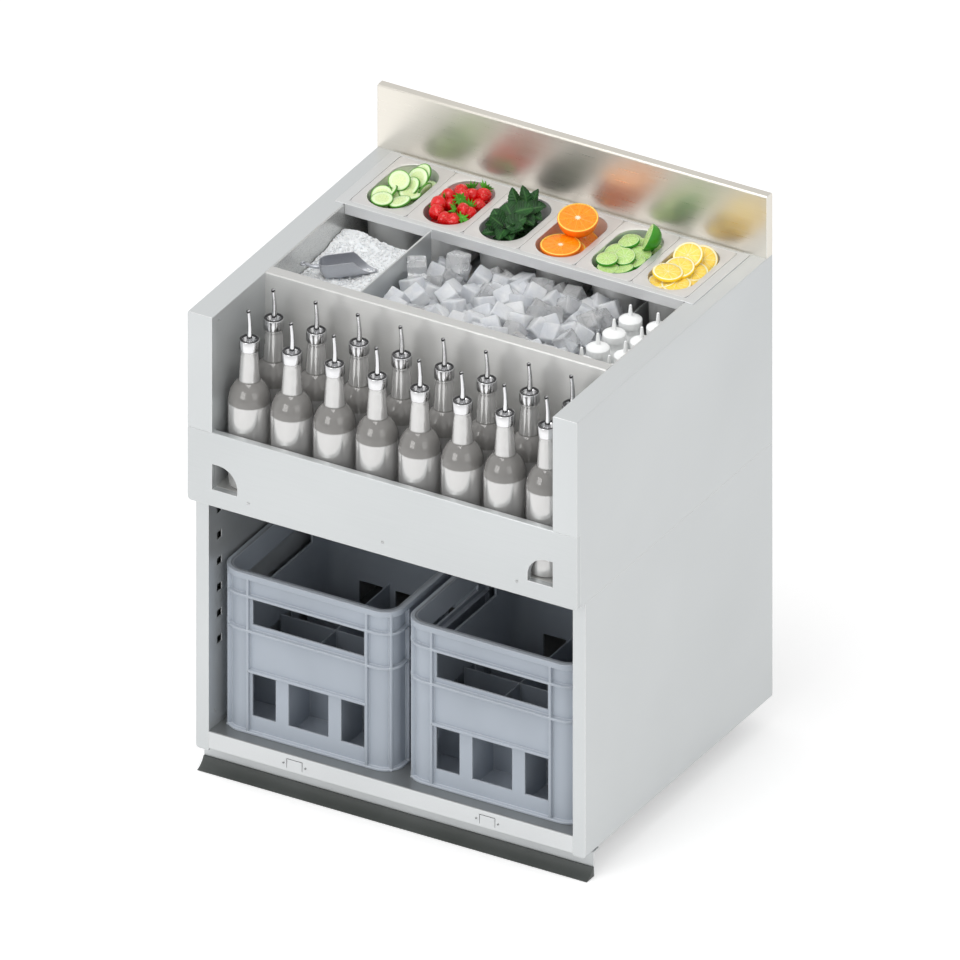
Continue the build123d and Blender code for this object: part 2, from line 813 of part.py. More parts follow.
def cup_form(grow, deep):
    """The drafted body of a cup, mouth down, grown by a wall or not."""
    wide = cup_wide + 2 * grow
    long = cup_long + 2 * grow
    with BuildPart() as body:
        with BuildSketch():
            Polygon(*rounded(wide, long, wide / 2, cup_end_sides), align=None)
        extrude(amount=deep, taper=math.degrees(math.atan2(cup_draft, cup_deep)))
    return body.part


cup_base = rim - cup_deep
cup_outer = cup_form(cup_wall, cup_deep + sheet)
cup_inner = cup_form(0, cup_deep + sheet - cup_wall)
for k in range(cup_count):
    cup_x = cup_pitch * (k - (cup_count - 1) / 2)
    with BuildPart() as cup:
        with BuildSketch(Plane.XY.offset(rim)) as plate:
            with Locations((cup_x, cup_middle_y)):
                Rectangle(cup_pitch - running_gap, frame_open_rear - frame_open_front - running_gap)
            chamfer(plate.vertices(), length=cup_plate_corner)
        extrude(amount=sheet)
        with Locations(Location((cup_x, cup_middle_y, rim + sheet), (180, 0, 0))):
            add(cup_outer)
            add(cup_inner, mode=Mode.SUBTRACT)
    keep(cup, f"garnish_cup_{k + 1}")

# Garnish heaps, one in each cup, with bevelled corners and a low crown
for k, (heap_name, heap_drop) in enumerate(heap_drops.items()):
    cup_x = cup_pitch * (k - (cup_count - 1) / 2)
    heap_wide = cup_wide - 2 * cup_draft - 2 * cup_clear
    heap_long = cup_long - 2 * cup_draft - 2 * cup_clear
    with BuildPart() as heap:
        with BuildSketch(Plane.XY.offset(cup_base + cup_wall)) as heap_outline:
            with Locations((cup_x, cup_middle_y)):
                Rectangle(heap_wide, heap_long)
            chamfer(heap_outline.vertices(), length=heap_corner_share * heap_wide)
        extrude(amount=cup_deep - cup_wall - heap_drop - heap_crown)
        extrude(heap.faces().sort_by(Axis.Z)[-1], amount=heap_crown,
                taper=math.degrees(math.atan2(heap_crown_inset, heap_crown)))
    keep(heap, heap_name)

# Upstand: a folded channel with closed ends, open at the bottom
with BuildPart() as upstand:
    with BuildSketch(Plane.XY.offset(rim)):
        with Locations((0, rear - upstand_thick / 2)):
            Rectangle(width, upstand_thick)
    extrude(amount=upstand_height)
    fillet(upstand.edges().group_by(Axis.Z)[-1].filter_by(Axis.X), radius=upstand_radius)
    offset(amount=-sheet, openings=upstand.faces().sort_by(Axis.Z)[0])
keep(upstand, "upstand")

# The axis of the ice scoop, and the round that its bowl is cut from
scoop_back = bin_front_back + scoop_back_share * (frame_front_back - bin_front_back)
scoop_plane = Plane(
    origin=(across(scoop_from_side), behind(scoop_back), rim - scoop_top_drop),
    x_dir=(-math.sin(math.radians(scoop_turn)), math.cos(math.radians(scoop_turn)), 0),
    z_dir=(math.cos(math.radians(scoop_turn)), math.sin(math.radians(scoop_turn)), 0),
)
scoop_side = Plane(origin=scoop_plane.origin, x_dir=scoop_plane.z_dir, z_dir=-scoop_plane.x_dir)


def scoop_form(shrink):
    """The full round of the bowl along its own axis, shrunk by the wall for the inside."""
    radius = scoop_radius - shrink
    barrel = turned(scoop_sides, [(0, radius), (scoop_long + abs(shrink), radius)])
    back = turned(scoop_sides, [(0, radius), (scoop_back_long - shrink, scoop_back_radius - shrink)])
    with BuildPart() as form:
        with Locations(Location(scoop_plane)):
            add(barrel)
        with Locations(Location(scoop_plane) * Location((0, 0, 0), (180, 0, 0))):
            add(back)
    return form.part


# Ice that fills the well: a crushed heap on the left, cubes in the middle
ice_front = behind(bin_front_back) + ice_gap
ice_rear = behind(bin_back) - sheet - ice_gap
ice_step = divider_back_end
ice_under_cups = cup_base - cup_clear
crushed_low_x = -inner_half + sheet + ice_gap
crushed_high_x = across(divider_left_at) - sheet / 2 - ice_gap
with BuildPart() as crushed_ice:
    with BuildSketch(Plane.YZ.offset(crushed_low_x)):
        with BuildLine() as crushed_outline:
            Polyline(
                (ice_front, rim - crushed_front_drop), (ice_front, grate_top), (ice_rear, grate_top),
                (ice_rear, ice_under_cups - ice_gap), (ice_step, ice_under_cups - ice_gap),
                (ice_step, rim - crushed_rear_drop),
            )
            ThreePointArc(
                (ice_step, rim - crushed_rear_drop),
                (ice_front + crushed_peak_share * (ice_step - ice_front), rim - crushed_peak_drop),
                (ice_front, rim - crushed_front_drop),
            )
        make_face(crushed_outline.edges())
    extrude(amount=crushed_high_x - crushed_low_x)
    add(scoop_form(-scoop_bed_gap), mode=Mode.SUBTRACT)
keep(crushed_ice, "crushed_ice")

cubes_low_x = across(divider_left_at) + sheet / 2 + ice_gap
cubes_high_x = across(divider_right_at) - sheet / 2 - ice_gap
cubes_middle_x = (cubes_low_x + cubes_high_x) / 2
cube_pitch_x = (cubes_high_x - cubes_low_x - 2 * cube_side_gap) / cube_columns
cube_pitch_y = (ice_step - ice_front - cube_rear_gap) / cube_rows
with BuildPart() as ice_cubes:
    bed_front = rim - cubes_front_drop - cube_size * cube_rise_share
    bed_rear = rim - cubes_rear_drop - cube_size * cube_rise_share
    with BuildSketch(Plane.YZ.offset(cubes_low_x)):
        Polygon(
            (ice_front, grate_top), (ice_rear, grate_top), (ice_rear, ice_under_cups - ice_gap),
            (ice_step, ice_under_cups - ice_gap), (ice_step, bed_rear), (ice_front, bed_front),
            align=None,
        )
    extrude(amount=cubes_high_x - cubes_low_x)
    bed_fall = (bed_rear - bed_front) / (ice_step - ice_front)
    for column in range(cube_columns):
        for row in range(cube_rows):
            lean = cube_lean * math.sin(column * cube_turn_x + row * cube_turn_y)
            turn = cube_lean * (column + 2 * row)
            x = cubes_middle_x + cube_pitch_x * (column - (cube_columns - 1) / 2)
            y = ice_front + cube_pitch_y * (row + 1 / 2)
            z = bed_front + bed_fall * (y - ice_front)
            with Locations(Location((x, y, z), (lean, cube_lean, turn))):
                Box(cube_size, cube_size, cube_size)
keep(ice_cubes, "ice_cubes")

# Ice scoop: a half-round bowl with a tapered back, a slanted mouth and a strip handle
with BuildPart() as ice_scoop:
    add(scoop_form(0))
    add(scoop_form(scoop_wall), mode=Mode.SUBTRACT)
    with BuildSketch(scoop_side):
        Polygon(
            (-2 * scoop_back_long, -scoop_lip_rise), (scoop_long / 2, -scoop_lip_rise),
            (scoop_long, -scoop_front_drop), (scoop_long + cut_over, -scoop_front_drop),
            (scoop_long + cut_over, scoop_radius + cut_over),
            (-2 * scoop_back_long, scoop_radius + cut_over), align=None,
        )
    extrude(amount=scoop_radius + cut_over, both=True, mode=Mode.SUBTRACT)
    with BuildSketch(scoop_side):
        handle_low = -scoop_lip_rise - scoop_wall - scoop_handle_thick
        Polygon(
            (scoop_wall - scoop_back_long, handle_low), (scoop_wall - scoop_back_long, -scoop_lip_rise),
            (-scoop_back_long - scoop_handle_long, scoop_handle_rise - scoop_lip_rise),
            (-scoop_back_long - scoop_handle_long, scoop_handle_rise - scoop_lip_rise - scoop_handle_thick),
            align=None,
        )
    extrude(amount=scoop_handle_wide / 2, both=True)
keep(ice_scoop, "ice_scoop")

# Squeeze bottles: a soft body with a sloping shoulder, and a screw cap with a tapered nozzle
shoulder_top = squeeze_body_high + squeeze_shoulder_high
cap_base = shoulder_top + squeeze_neck_high
squeeze_form = turned(squeeze_sides, [
    (0, squeeze_radius), (squeeze_body_high, squeeze_radius), (shoulder_top, squeeze_neck_radius),
    (cap_base, squeeze_neck_radius),
])
crown_base = cap_base + squeeze_cap_high
crown_top = crown_base + squeeze_cap_crown
squeeze_cap_form = turned(squeeze_sides, [
    (cap_base, squeeze_cap_radius), (crown_base, squeeze_cap_radius), (crown_top, squeeze_crown_radius),
]) + turned(spout_sides, [
    (crown_top, squeeze_nozzle_base_radius), (crown_top + squeeze_nozzle_high, squeeze_nozzle_tip_radius),
])

squeeze_last_x = inner_half - sheet - squeeze_right_gap
squeeze_first_y = behind(bin_front_back + squeeze_front_gap)
squeeze_columns = int((inner_half - sheet - across(divider_right_at)) // squeeze_place_wide)
squeeze_rows = int((frame_front_back - bin_front_back) // squeeze_place_wide)
squeeze_places = [
    (squeeze_last_x - column * squeeze_pitch_x, squeeze_first_y + row * squeeze_pitch_y, grate_top)
    for column in range(squeeze_columns)
    for row in range(squeeze_rows)
]
for form, squeeze_name in ((squeeze_form, "squeeze_bottles"), (squeeze_cap_form, "squeeze_caps")):
    with BuildPart() as group:
        with Locations(*squeeze_places):
            add(form)
    keep(group, squeeze_name)


# Bottle crates: a thin-walled shell with a rim, ribs, hand grips, windows and cell walls
def crate(hand, name):
    x = hand * (crate_wide + crate_gap) / 2
    y = behind(crate_setback) + crate_deep / 2
    floor = shelf_top

    corner_x = crate_wide / 2 - crate_corner_radius
    corner_y = crate_deep / 2 - crate_corner_radius
    shell_wide = crate_wide - 2 * crate_rib
    shell_deep = crate_deep - 2 * crate_rib
    shell_radius = crate_corner_radius - crate_rib
    bands = [
        (0, crate_high, 0),
        (0, crate_rib_wide, crate_rib),
        (crate_high - crate_rim_high, crate_rim_high, crate_rib),
    ]
    bands += [(level - crate_rib_wide / 2, crate_rib_wide, crate_rib) for level in crate_band_levels[:2]]
    corner_reach = crate_corner_radius - crate_rib_recess
    with BuildPart() as box:
        for level, high, out in bands:
            with BuildSketch(Plane.XY.offset(floor + level)):
                with Locations((x, y)):
                    Polygon(
                        *rounded(shell_wide + 2 * out, shell_deep + 2 * out, shell_radius + out,
                                 crate_corner_sides),
                        align=None,
                    )
            extrude(amount=high)
        with BuildSketch(Plane.XY.offset(floor)):
            with Locations((x, y)):
                with GridLocations(2 * crate_rib_x, 0, 2, 1):
                    Rectangle(crate_rib_wide, crate_deep - 2 * crate_rib_recess)
                with GridLocations(0, 2 * crate_rib_y, 1, 2):
                    Rectangle(crate_wide - 2 * crate_rib_recess, crate_rib_wide)
                for turn in (45, -45):
                    with GridLocations(2 * corner_x, 2 * corner_y, 2, 2):
                        Rectangle(2 * corner_reach, crate_rib_wide, rotation=turn)
        extrude(amount=crate_high)
        with BuildSketch(Plane.XY.offset(floor + crate_band_levels[2] - crate_rib_wide / 2)):
            with Locations((x, y)):
                Rectangle(2 * crate_rib_x, crate_deep)
                Rectangle(crate_wide, 2 * crate_rib_y)
        extrude(amount=crate_rib_wide)
        with BuildSketch(Plane.XY.offset(floor + crate_floor)):
            with Locations((x, y)):
                Polygon(
                    *rounded(shell_wide - 2 * crate_wall, shell_deep - 2 * crate_wall,
                             shell_radius - crate_wall, crate_corner_sides),
                    align=None,
                )
        extrude(amount=crate_high, mode=Mode.SUBTRACT)
        grip_middle = floor + crate_grip_base + crate_grip_high / 2
        window_middle = floor + crate_window_base + crate_window_high / 2
        with BuildSketch(Plane.XZ.offset(-y)):
            with Locations((x, grip_middle)):
                Rectangle(2 * (crate_rib_x - crate_opening_inset), crate_grip_high)
            with Locations((x, window_middle)):
                Rectangle(crate_window_share * crate_wide, crate_window_high)
                with GridLocations(2 * crate_window_pitch_share * crate_wide, 0, 2, 1):
                    Rectangle(crate_side_window_share * crate_wide, crate_window_high)
        extrude(amount=crate_deep, both=True, mode=Mode.SUBTRACT)
        with BuildSketch(Plane.YZ.offset(x)):
            with Locations((y, grip_middle)):
                Rectangle(2 * (crate_rib_y - crate_opening_inset), crate_grip_high)
            with Locations((y, window_middle)):
                Rectangle(2 * (crate_rib_y - crate_opening_inset), crate_window_high)
        extrude(amount=crate_wide, both=True, mode=Mode.SUBTRACT)
        with BuildSketch(Plane.XY.offset(floor + crate_floor)):
            with Locations((x, y)):
                with GridLocations(crate_cell_share * crate_wide, 0, crate_cells - 1, 1):
                    Rectangle(crate_divider_thick, shell_deep - crate_wall)
                with GridLocations(0, crate_cell_row_share * crate_deep, 1, crate_cell_rows - 1):
                    Rectangle(shell_wide - crate_wall, crate_divider_thick)
        extrude(amount=crate_divider_high_share * crate_high)
    keep(box, name)


crate(-1, "crate_left")
crate(1, "crate_right")
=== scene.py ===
import math
import random

import bmesh
import bpy
from mathutils import Matrix, Vector, noise


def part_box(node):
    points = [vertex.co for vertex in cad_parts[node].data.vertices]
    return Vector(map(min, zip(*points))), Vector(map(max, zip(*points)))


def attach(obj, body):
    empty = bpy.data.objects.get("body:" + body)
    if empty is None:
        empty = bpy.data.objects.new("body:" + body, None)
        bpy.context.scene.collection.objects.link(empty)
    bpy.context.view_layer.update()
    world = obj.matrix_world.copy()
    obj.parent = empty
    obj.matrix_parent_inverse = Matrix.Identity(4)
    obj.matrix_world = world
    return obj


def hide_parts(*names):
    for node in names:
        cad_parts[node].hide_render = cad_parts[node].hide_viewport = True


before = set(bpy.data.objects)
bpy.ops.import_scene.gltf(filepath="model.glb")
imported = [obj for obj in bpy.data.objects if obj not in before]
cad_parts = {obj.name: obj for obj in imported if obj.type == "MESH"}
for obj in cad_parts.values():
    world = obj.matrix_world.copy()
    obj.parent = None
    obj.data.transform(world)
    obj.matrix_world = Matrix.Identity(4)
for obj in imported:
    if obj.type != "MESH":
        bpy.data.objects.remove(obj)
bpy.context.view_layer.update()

# Sizes in millimetres, as in the part
MM = 0.001
TINY = 1e-6
RIM = 960.0
FRONT = -347.5
HALF_WIDTH = 400
WELL_FLOOR = 736
UP = Vector((0, 0, 1))
rng = random.Random(11)
shift = Matrix.Translation


def at(across, behind, height):
    """A place measured from the left outer side, the front face and the floor."""
    return Vector((across - HALF_WIDTH, FRONT + behind, height))


def spun(degrees, axis="Z"):
    """A turn about an axis, in degrees."""
    return Matrix.Rotation(math.radians(degrees), 4, axis)


def facing(place, normal, spin=0.0):
    """A matrix that lays a piece's +Z along a normal, turned about it by some degrees."""
    tilt = UP.rotation_difference(Vector(normal)).to_matrix().to_4x4()
    return shift(place) @ tilt @ spun(spin)


def on_circle(step, steps, radius=1.0):
    """The point of a circle after some of its equal steps."""
    turn = 2 * math.pi * step / steps
    return radius * math.cos(turn), radius * math.sin(turn)


def shares(steps):
    """Even shares from 0 to 1."""
    return [step / steps for step in range(steps + 1)]


def clamp(value, limit):
    """The value, kept between the limit and its opposite."""
    return max(-limit, min(limit, value))


def in_scene(name, data):
    """A new object, linked to the scene."""
    made = bpy.data.objects.new(name, data)
    bpy.context.scene.collection.objects.link(made)
    return made


# Forms in mesh code
class Form:
    """Points and faces of one piece in millimetres, with a finish number and a flat map."""

    def __init__(self):
        self.points = []
        self.faces = []
        self.finish = []
        self.maps = []

    def add(self, points, faces, place=None, finish=0, maps=None):
        base = len(self.points)
        place = place or Matrix()
        self.points += [place @ Vector(point) for point in points]
        for number, face in enumerate(faces):
            self.faces.append([base + k for k in face])
            self.finish.append(finish if isinstance(finish, int) else finish[number])
            self.maps.append([maps[k] for k in face] if maps else [(0.0, 0.0)] * len(face))
        return self

    def turn(self, profile, place, finish=0, sides=40, closed=False):
        """Add a turned form, without a map."""
        return self.add(*lathe(profile, sides, closed)[:2], place, finish)

    def block(self, size, middle, radius, steps=2, finish=0):
        """Add a block with rounded edges."""
        return self.add(*brick(size, radius, steps), shift(middle), finish)

    def piece(self, name, body, slot, finishes, nodes=(), sharp=38):
        mesh = bpy.data.meshes.new(name)
        mesh.from_pydata([point * MM for point in self.points], [], self.faces)
        layer = mesh.uv_layers.new(name="map")
        layer.data.foreach_set("uv", [c for face in self.maps for pair in face for c in pair])
        for finish in finishes:
            mesh.materials.append(finish)
        mesh.polygons.foreach_set("material_index", self.finish)
        shape = bmesh.new()
        shape.from_mesh(mesh)
        bmesh.ops.recalc_face_normals(shape, faces=shape.faces)
        shape.to_mesh(mesh)
        shape.free()
        mesh.polygons.foreach_set("use_smooth", [True] * len(mesh.polygons))
        mesh.set_sharp_from_angle(angle=math.radians(sharp))
        mesh.update()
        made = in_scene(name, mesh)
        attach(made, body)
        if nodes:
            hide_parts(*nodes)
        return made


def lathe(profile, sides=36, closed=False, scale=None):
    """A turned form: radius and height pairs, from one end of the axis to the other."""
    points, rings, maps = [], [], []
    length = max(height for radius, height in profile) or 1.0
    for radius, height in profile:
        count = sides if radius > TINY else 1
        rings.append([len(points) + k % count for k in range(sides)])
        for k in range(count):
            x, y = on_circle(k, sides, radius)
            points.append((x, y, height))
            maps.append((x / scale, y / scale) if scale else (k / sides, height / length))
    pairs = list(zip(rings, rings[1:]))
    if closed:
        pairs.append((rings[-1], rings[0]))
    faces = []
    for low, high in pairs:
        for k in range(sides):
            n = (k + 1) % sides
            faces.append(tuple(dict.fromkeys((low[k], low[n], high[n], high[k]))))
    return points, faces, maps


def loft(rings, looped=False):
    """A skin over rings with the same number of points, with end caps unless it is looped."""
    count = len(rings[0])
    points = [point for ring in rings for point in ring]
    faces = []
    for level in range(len(rings) if looped else len(rings) - 1):
        low = level * count
        high = ((level + 1) % len(rings)) * count
        for k in range(count):
            n = (k + 1) % count
            faces.append((low + k, low + n, high + n, high + k))
    if not looped:
        faces.append(tuple(reversed(range(count))))
        faces.append(tuple(range(len(points) - count, len(points))))
    return points, faces


def two_layers(columns, rows):
    """Faces of a sheet, of the copy that lies under it and of the rim between them."""
    wide = columns + 1
    under = (rows + 1) * wide
    faces, rim = [], []
    for r in range(rows):
        for c in range(columns):
            n = r * wide + c
            faces.append((n, n + 1, n + wide + 1, n + wide))
            n += under
            faces.append((n + wide, n + wide + 1, n + 1, n))
    for n in range(0, rows * wide, wide):
        rim += [(n, n + wide), (n + wide + columns, n + columns)]
    for c in range(columns):
        rim += [(c + 1, c), (rows * wide + c, rows * wide + c + 1)]
    return faces + [(a, b, b + under, a + under) for a, b in rim]


def tube(path, radii, sides=12, flat=1.0):
    """A tube along a path, with its own radius at each point."""
    rings = []
    for k, point in enumerate(path):
        ahead = Vector(path[min(k + 1, len(path) - 1)]) - Vector(path[max(k - 1, 0)])
        ahead.normalize()
        side = ahead.cross(UP) if abs(ahead.z) < 0.9 else ahead.cross(Vector((0, 1, 0)))
        side.normalize()
        over = side.cross(ahead)
        ring = []
        for step in range(sides):
            across, up = on_circle(step, sides)
            ring.append(Vector(point) + radii[k] * (across * side + flat * up * over))
        rings.append(ring)
    return loft(rings)


def taken_from(shape):
    """Points and faces of a bmesh, which ends with it."""
    points = [vertex.co.copy() for vertex in shape.verts]
    faces = [tuple(vertex.index for vertex in face.verts) for face in shape.faces]
    shape.free()
    return points, faces


def brick(size, radius, steps=2):
    """A block with rounded edges."""
    shape = bmesh.new()
    bmesh.ops.create_cube(shape, size=1.0)
    for vertex in shape.verts:
        vertex.co = Vector(vertex.co[axis] * size[axis] for axis in range(3))
    bmesh.ops.bevel(shape, geom=shape.edges[:], offset=radius, segments=steps, profile=0.5,
                    affect="EDGES")
    return taken_from(shape)


def lump(rough, seed):
    """An irregular pebble of ice, one millimetre in radius."""
    shape = bmesh.new()
    bmesh.ops.create_icosphere(shape, subdivisions=1, radius=1.0)
    for vertex in shape.verts:
        vertex.co *= 1 + rough * noise.noise(vertex.co * 1.1 + Vector((seed, 2.7 * seed, 0)))
    return taken_from(shape)


# Finishes
class Nodes:
    """A node tree, with short calls for its nodes."""

    def __init__(self, tree):
        self.tree = tree

    def node(self, kind, inputs=None, **settings):
        made = self.tree.nodes.new(kind)
        for setting, value in settings.items():
            setattr(made, setting, value)
        for socket, value in (inputs or {}).items():
            self.put(made, socket, value)
        return made

    def put(self, node, socket, value):
        target = node.inputs[socket]
        if isinstance(value, bpy.types.NodeSocket):
            self.tree.links.new(value, target)
        elif hasattr(target.default_value, "__len__") and len(target.default_value) == 4:
            target.default_value = (*value[:3], 1.0)
        else:
            target.default_value = value

    def sum(self, operation, first, second=0.0, third=0.0):
        made = self.node("ShaderNodeMath", {0: first, 1: second, 2: third}, operation=operation)
        return made.outputs[0]

    def times(self, first, second):
        return self.sum("MULTIPLY", first, second)

    def plus(self, first, second):
        return self.sum("ADD", first, second)

    def spread(self, value, low, high, start=0.0, end=1.0):
        made = self.node("ShaderNodeMapRange", {"Value": value, "From Min": low, "From Max": high,
                                                "To Min": start, "To Max": end})
        return made.outputs[0]

    def split(self, vector):
        return self.node("ShaderNodeSeparateXYZ", {0: vector}).outputs


class Finish(Nodes):
    """A node-based material on the Principled shader."""

    def __init__(self, name, **values):
        self.material = bpy.data.materials.new(name)
        self.material.use_nodes = True
        super().__init__(self.material.node_tree)
        self.shader = self.tree.nodes["Principled BSDF"]
        self.place = self.node("ShaderNodeTexCoord").outputs
        self.use(**values)

    def mix(self, share, first, second):
        made = self.node("ShaderNodeMix", data_type="RGBA")
        self.put(made, 0, share)
        self.put(made, 6, first)
        self.put(made, 7, second)
        return made.outputs[2]

    def laid(self, stretch, where):
        return self.node("ShaderNodeMapping", {"Vector": self.place[where], "Scale": stretch}).outputs[0]

    def noise(self, scale, detail=3.0, stretch=(1, 1, 1), where="Object"):
        made = self.node("ShaderNodeTexNoise", {"Vector": self.laid(stretch, where), "Scale": scale,
                                                "Detail": detail})
        return made.outputs["Fac"]

    def cells(self, scale, stretch=(1, 1, 1), where="Object", feature="F1"):
        made = self.node("ShaderNodeTexVoronoi", {"Vector": self.laid(stretch, where), "Scale": scale},
                         feature=feature)
        return made.outputs["Distance"]

    def bump(self, height, strength, distance=0.001, under=None):
        made = self.node("ShaderNodeBump", {"Height": height, "Strength": strength,
                                            "Distance": distance})
        if under:
            self.put(made, "Normal", under)
        return made.outputs["Normal"]

    def bends(self, radius, low, high, share):
        """Rounded normals at the edges, plain normals, and how far the first turn from the second."""
        bent = self.node("ShaderNodeBevel", {"Radius": radius}, samples=4).outputs[0]
        plain = self.node("ShaderNodeNewGeometry").outputs["Normal"]
        turned = self.node("ShaderNodeVectorMath", {0: bent, 1: plain}, operation="DOT_PRODUCT")
        return bent, plain, self.spread(turned.outputs["Value"], low, high, 0.0, share)

    def polar(self):
        """Distance from the middle of the flat map, and the angle round it."""
        across, up = self.split(self.place["UV"])[:2]
        away = self.sum("SQRT", self.plus(self.times(across, across), self.times(up, up)))
        return away, self.sum("ARCTAN2", up, across)

    def fan(self, turn, away):
        """Cells drawn out along the rays of a round slice."""
        rays = self.node("ShaderNodeCombineXYZ", {0: turn, 1: away})
        return self.node("ShaderNodeTexVoronoi", {"Vector": rays.outputs[0], "Scale": 1.0}).outputs[0]

    def use(self, **values):
        for socket, value in values.items():
            self.put(self.shader, socket.replace("_", " "), value)
        return self.material

    def skin(self, colour, grain, rough, normal):
        """Set the colour, the normals, and a roughness that follows a grain between two ends."""
        return self.use(Base_Color=colour, Roughness=self.spread(grain, 0.3, 0.7, *rough), Normal=normal)


def soft(weight, radius, scale):
    """Values for light that goes some way under a surface."""
    return {"Subsurface_Weight": weight, "Subsurface_Radius": radius, "Subsurface_Scale": scale}


def steel(name, stretch, low, high, rough=0.38, metal=0.6, bend=0.002, edge_glint=0.8, edge=1.0,
          level=None, grit=0.04):
    """Stainless sheet: a grain in one direction, slow changes, a painted highlight along its bends, and, when a
    level tone is given, a tone for its level faces that paints light and shade on the tops.
    """
    look = Finish(name, Metallic=metal, Specular_Tint=(edge, edge, edge))
    grain = look.noise(9.0, 4.0, stretch)
    tone = look.plus(look.times(grain, 0.4), look.times(look.noise(3.0, 2.0), 0.6))
    # The bends get a pale colour mixed in by the edge mask: a painted highlight along the rounded edges.
    bent, plain, painted_edge_highlight = look.bends(bend, 0.985, 0.86, edge_glint)
    body = look.mix(look.spread(tone, 0.35, 0.65), low, high)
    # Level faces take their own tone: painted light and shade on the tops.
    if level:
        rise = look.sum("ABSOLUTE", look.split(plain)[2])
        body = look.mix(look.spread(rise, 0.4, 0.6), body, level)
    return look.skin(look.mix(painted_edge_highlight, body, (0.96, 0.965, 0.96)), grain, (rough - 0.05, rough + 0.05),
                     look.bump(grain, grit, 0.0002, bent))


def plastic(name, dark, light, rough, scale=60.0, depth=0.08, **more):
    """Moulded plastic with a fine texture and slight changes of tone."""
    look = Finish(name, **more)
    cloud = look.spread(look.noise(scale * 0.2, 3.0), 0.35, 0.65)
    fine = look.noise(scale * 12, 2.0)
    return look.skin(look.mix(cloud, dark, light), fine, (rough - 0.04, rough + 0.06),
                     look.bump(fine, depth, 0.0002))


ALONG = (1.5, 90, 90)
ACROSS = (90, 1.5, 90)
satin = steel("satin_steel", ALONG, (0.555, 0.575, 0.58), (0.60, 0.62, 0.625))
# The level= tones below give the tops their own tone, set by how light falls on them: painted shade on the
# frame's and the rail's tops, and a flat painted tone on the tops of the side panels and cheeks.
satin_deep = steel("satin_steel_along_depth", ACROSS, (0.585, 0.605, 0.61), (0.625, 0.645, 0.65),
                   level=(0.63, 0.65, 0.655))
frame_steel = steel("frame_steel", ALONG, (0.66, 0.665, 0.67), (0.71, 0.715, 0.72), metal=0.4,
                    level=(0.63, 0.64, 0.64))
ledge_steel = steel("ledge_steel", ALONG, (0.55, 0.54, 0.50), (0.60, 0.585, 0.54))
# The rail steel is a paler copy of the sheet steel: painted light that lifts the shade among the bottles.
rail_steel = steel("bottle_rail_steel", ALONG, (0.73, 0.73, 0.715), (0.78, 0.78, 0.765), 0.34,
                   level=(0.60, 0.60, 0.585))
# The upstand steel is tinted warm: painted reflection of the fruit colours around it.
warm_reflection_steel = steel("upstand_steel", (1.5, 60, 60), (0.74, 0.705, 0.635), (0.79, 0.755, 0.685), 0.32, 0.92,
                   grit=0.008)
liner = steel("liner_steel", ALONG, (0.58, 0.585, 0.575), (0.66, 0.665, 0.655), 0.3)
# Cup plates and cup walls are one steel in two tones: the level plates darker as painted shade, the walls paler
# as painted light.
cup_plate = steel("cup_plate_steel", ALONG, (0.68, 0.67, 0.665), (0.72, 0.71, 0.705), bend=0.001)
cup_wall = steel("cup_wall_steel", ALONG, (0.80, 0.80, 0.79), (0.86, 0.86, 0.85), 0.35, 0.5)
# The cabinet steel's level faces are dark: painted shade on the shelf floor inside the cabinet.
cabinet = steel("cabinet_steel", ACROSS, (0.62, 0.635, 0.64), (0.68, 0.695, 0.70), 0.36, 0.7, edge_glint=0.0,
                level=(0.34, 0.35, 0.35))
# A near-black steel for the back panel and studs: painted shade for the dark inside of the cabinet.
painted_shade_steel = steel("inner_steel_painted_shade", ALONG, (0.10, 0.108, 0.112), (0.15, 0.158, 0.162), 0.42, 1.0)
foot_finish = steel("foot_steel", (40, 40, 4), (0.42, 0.42, 0.42), (0.5, 0.5, 0.5), 0.34, 1.0, 0.0005, 0.2)
screw_finish = steel("fastener_steel", (60, 60, 60), (0.4, 0.41, 0.41), (0.56, 0.57, 0.57), 0.22, 1.0,
                     0.0002, 0.2)
scoop_finish = steel("scoop_steel", (30, 30, 60), (0.43, 0.44, 0.47), (0.50, 0.515, 0.55), 0.34, 0.8,
                     0.0006, 0.5)
chrome = steel("pourer_chrome", (30, 30, 30), (0.70, 0.70, 0.71), (0.78, 0.78, 0.79), 0.12, 1.0, 0.0004,
               0.0, 0.12)
rubber = plastic("pourer_rubber", (0.012, 0.012, 0.013), (0.02, 0.02, 0.022), 0.42)
plinth = plastic("plinth_plastic", (0.055, 0.062, 0.058), (0.075, 0.083, 0.08), 0.5, 30.0)
foam = plastic("foam", (0.62, 0.58, 0.42), (0.75, 0.71, 0.55), 0.85, 90.0, 0.5)
white = plastic("white_plastic", (0.89, 0.905, 0.90), (0.94, 0.95, 0.945), 0.38, 20.0, 0.03,
                **soft(0.25, (0.6, 0.6, 0.6), 0.004))


def crate_plastic():
    """Grey-blue plastic, with a painted light tone on its level faces and a painted highlight along its edges.
    """
    look = Finish("crate_plastic")
    bent, plain, edges = look.bends(0.0022, 0.99, 0.88, 0.75)
    fine = look.noise(300.0, 2.0)
    tone = look.mix(look.spread(look.noise(5.0), 0.35, 0.65), (0.37, 0.41, 0.465), (0.42, 0.465, 0.525))
    # Level faces paler: painted light on the tops.
    body = look.mix(look.spread(look.split(plain)[2], 0.5, 0.8), tone, (0.50, 0.54, 0.60))
    # A pale colour at the rounded edges: painted highlight.
    return look.skin(look.mix(edges, body, (0.62, 0.66, 0.70)), fine, (0.42, 0.52),
                     look.bump(fine, 0.08, 0.0002, bent))


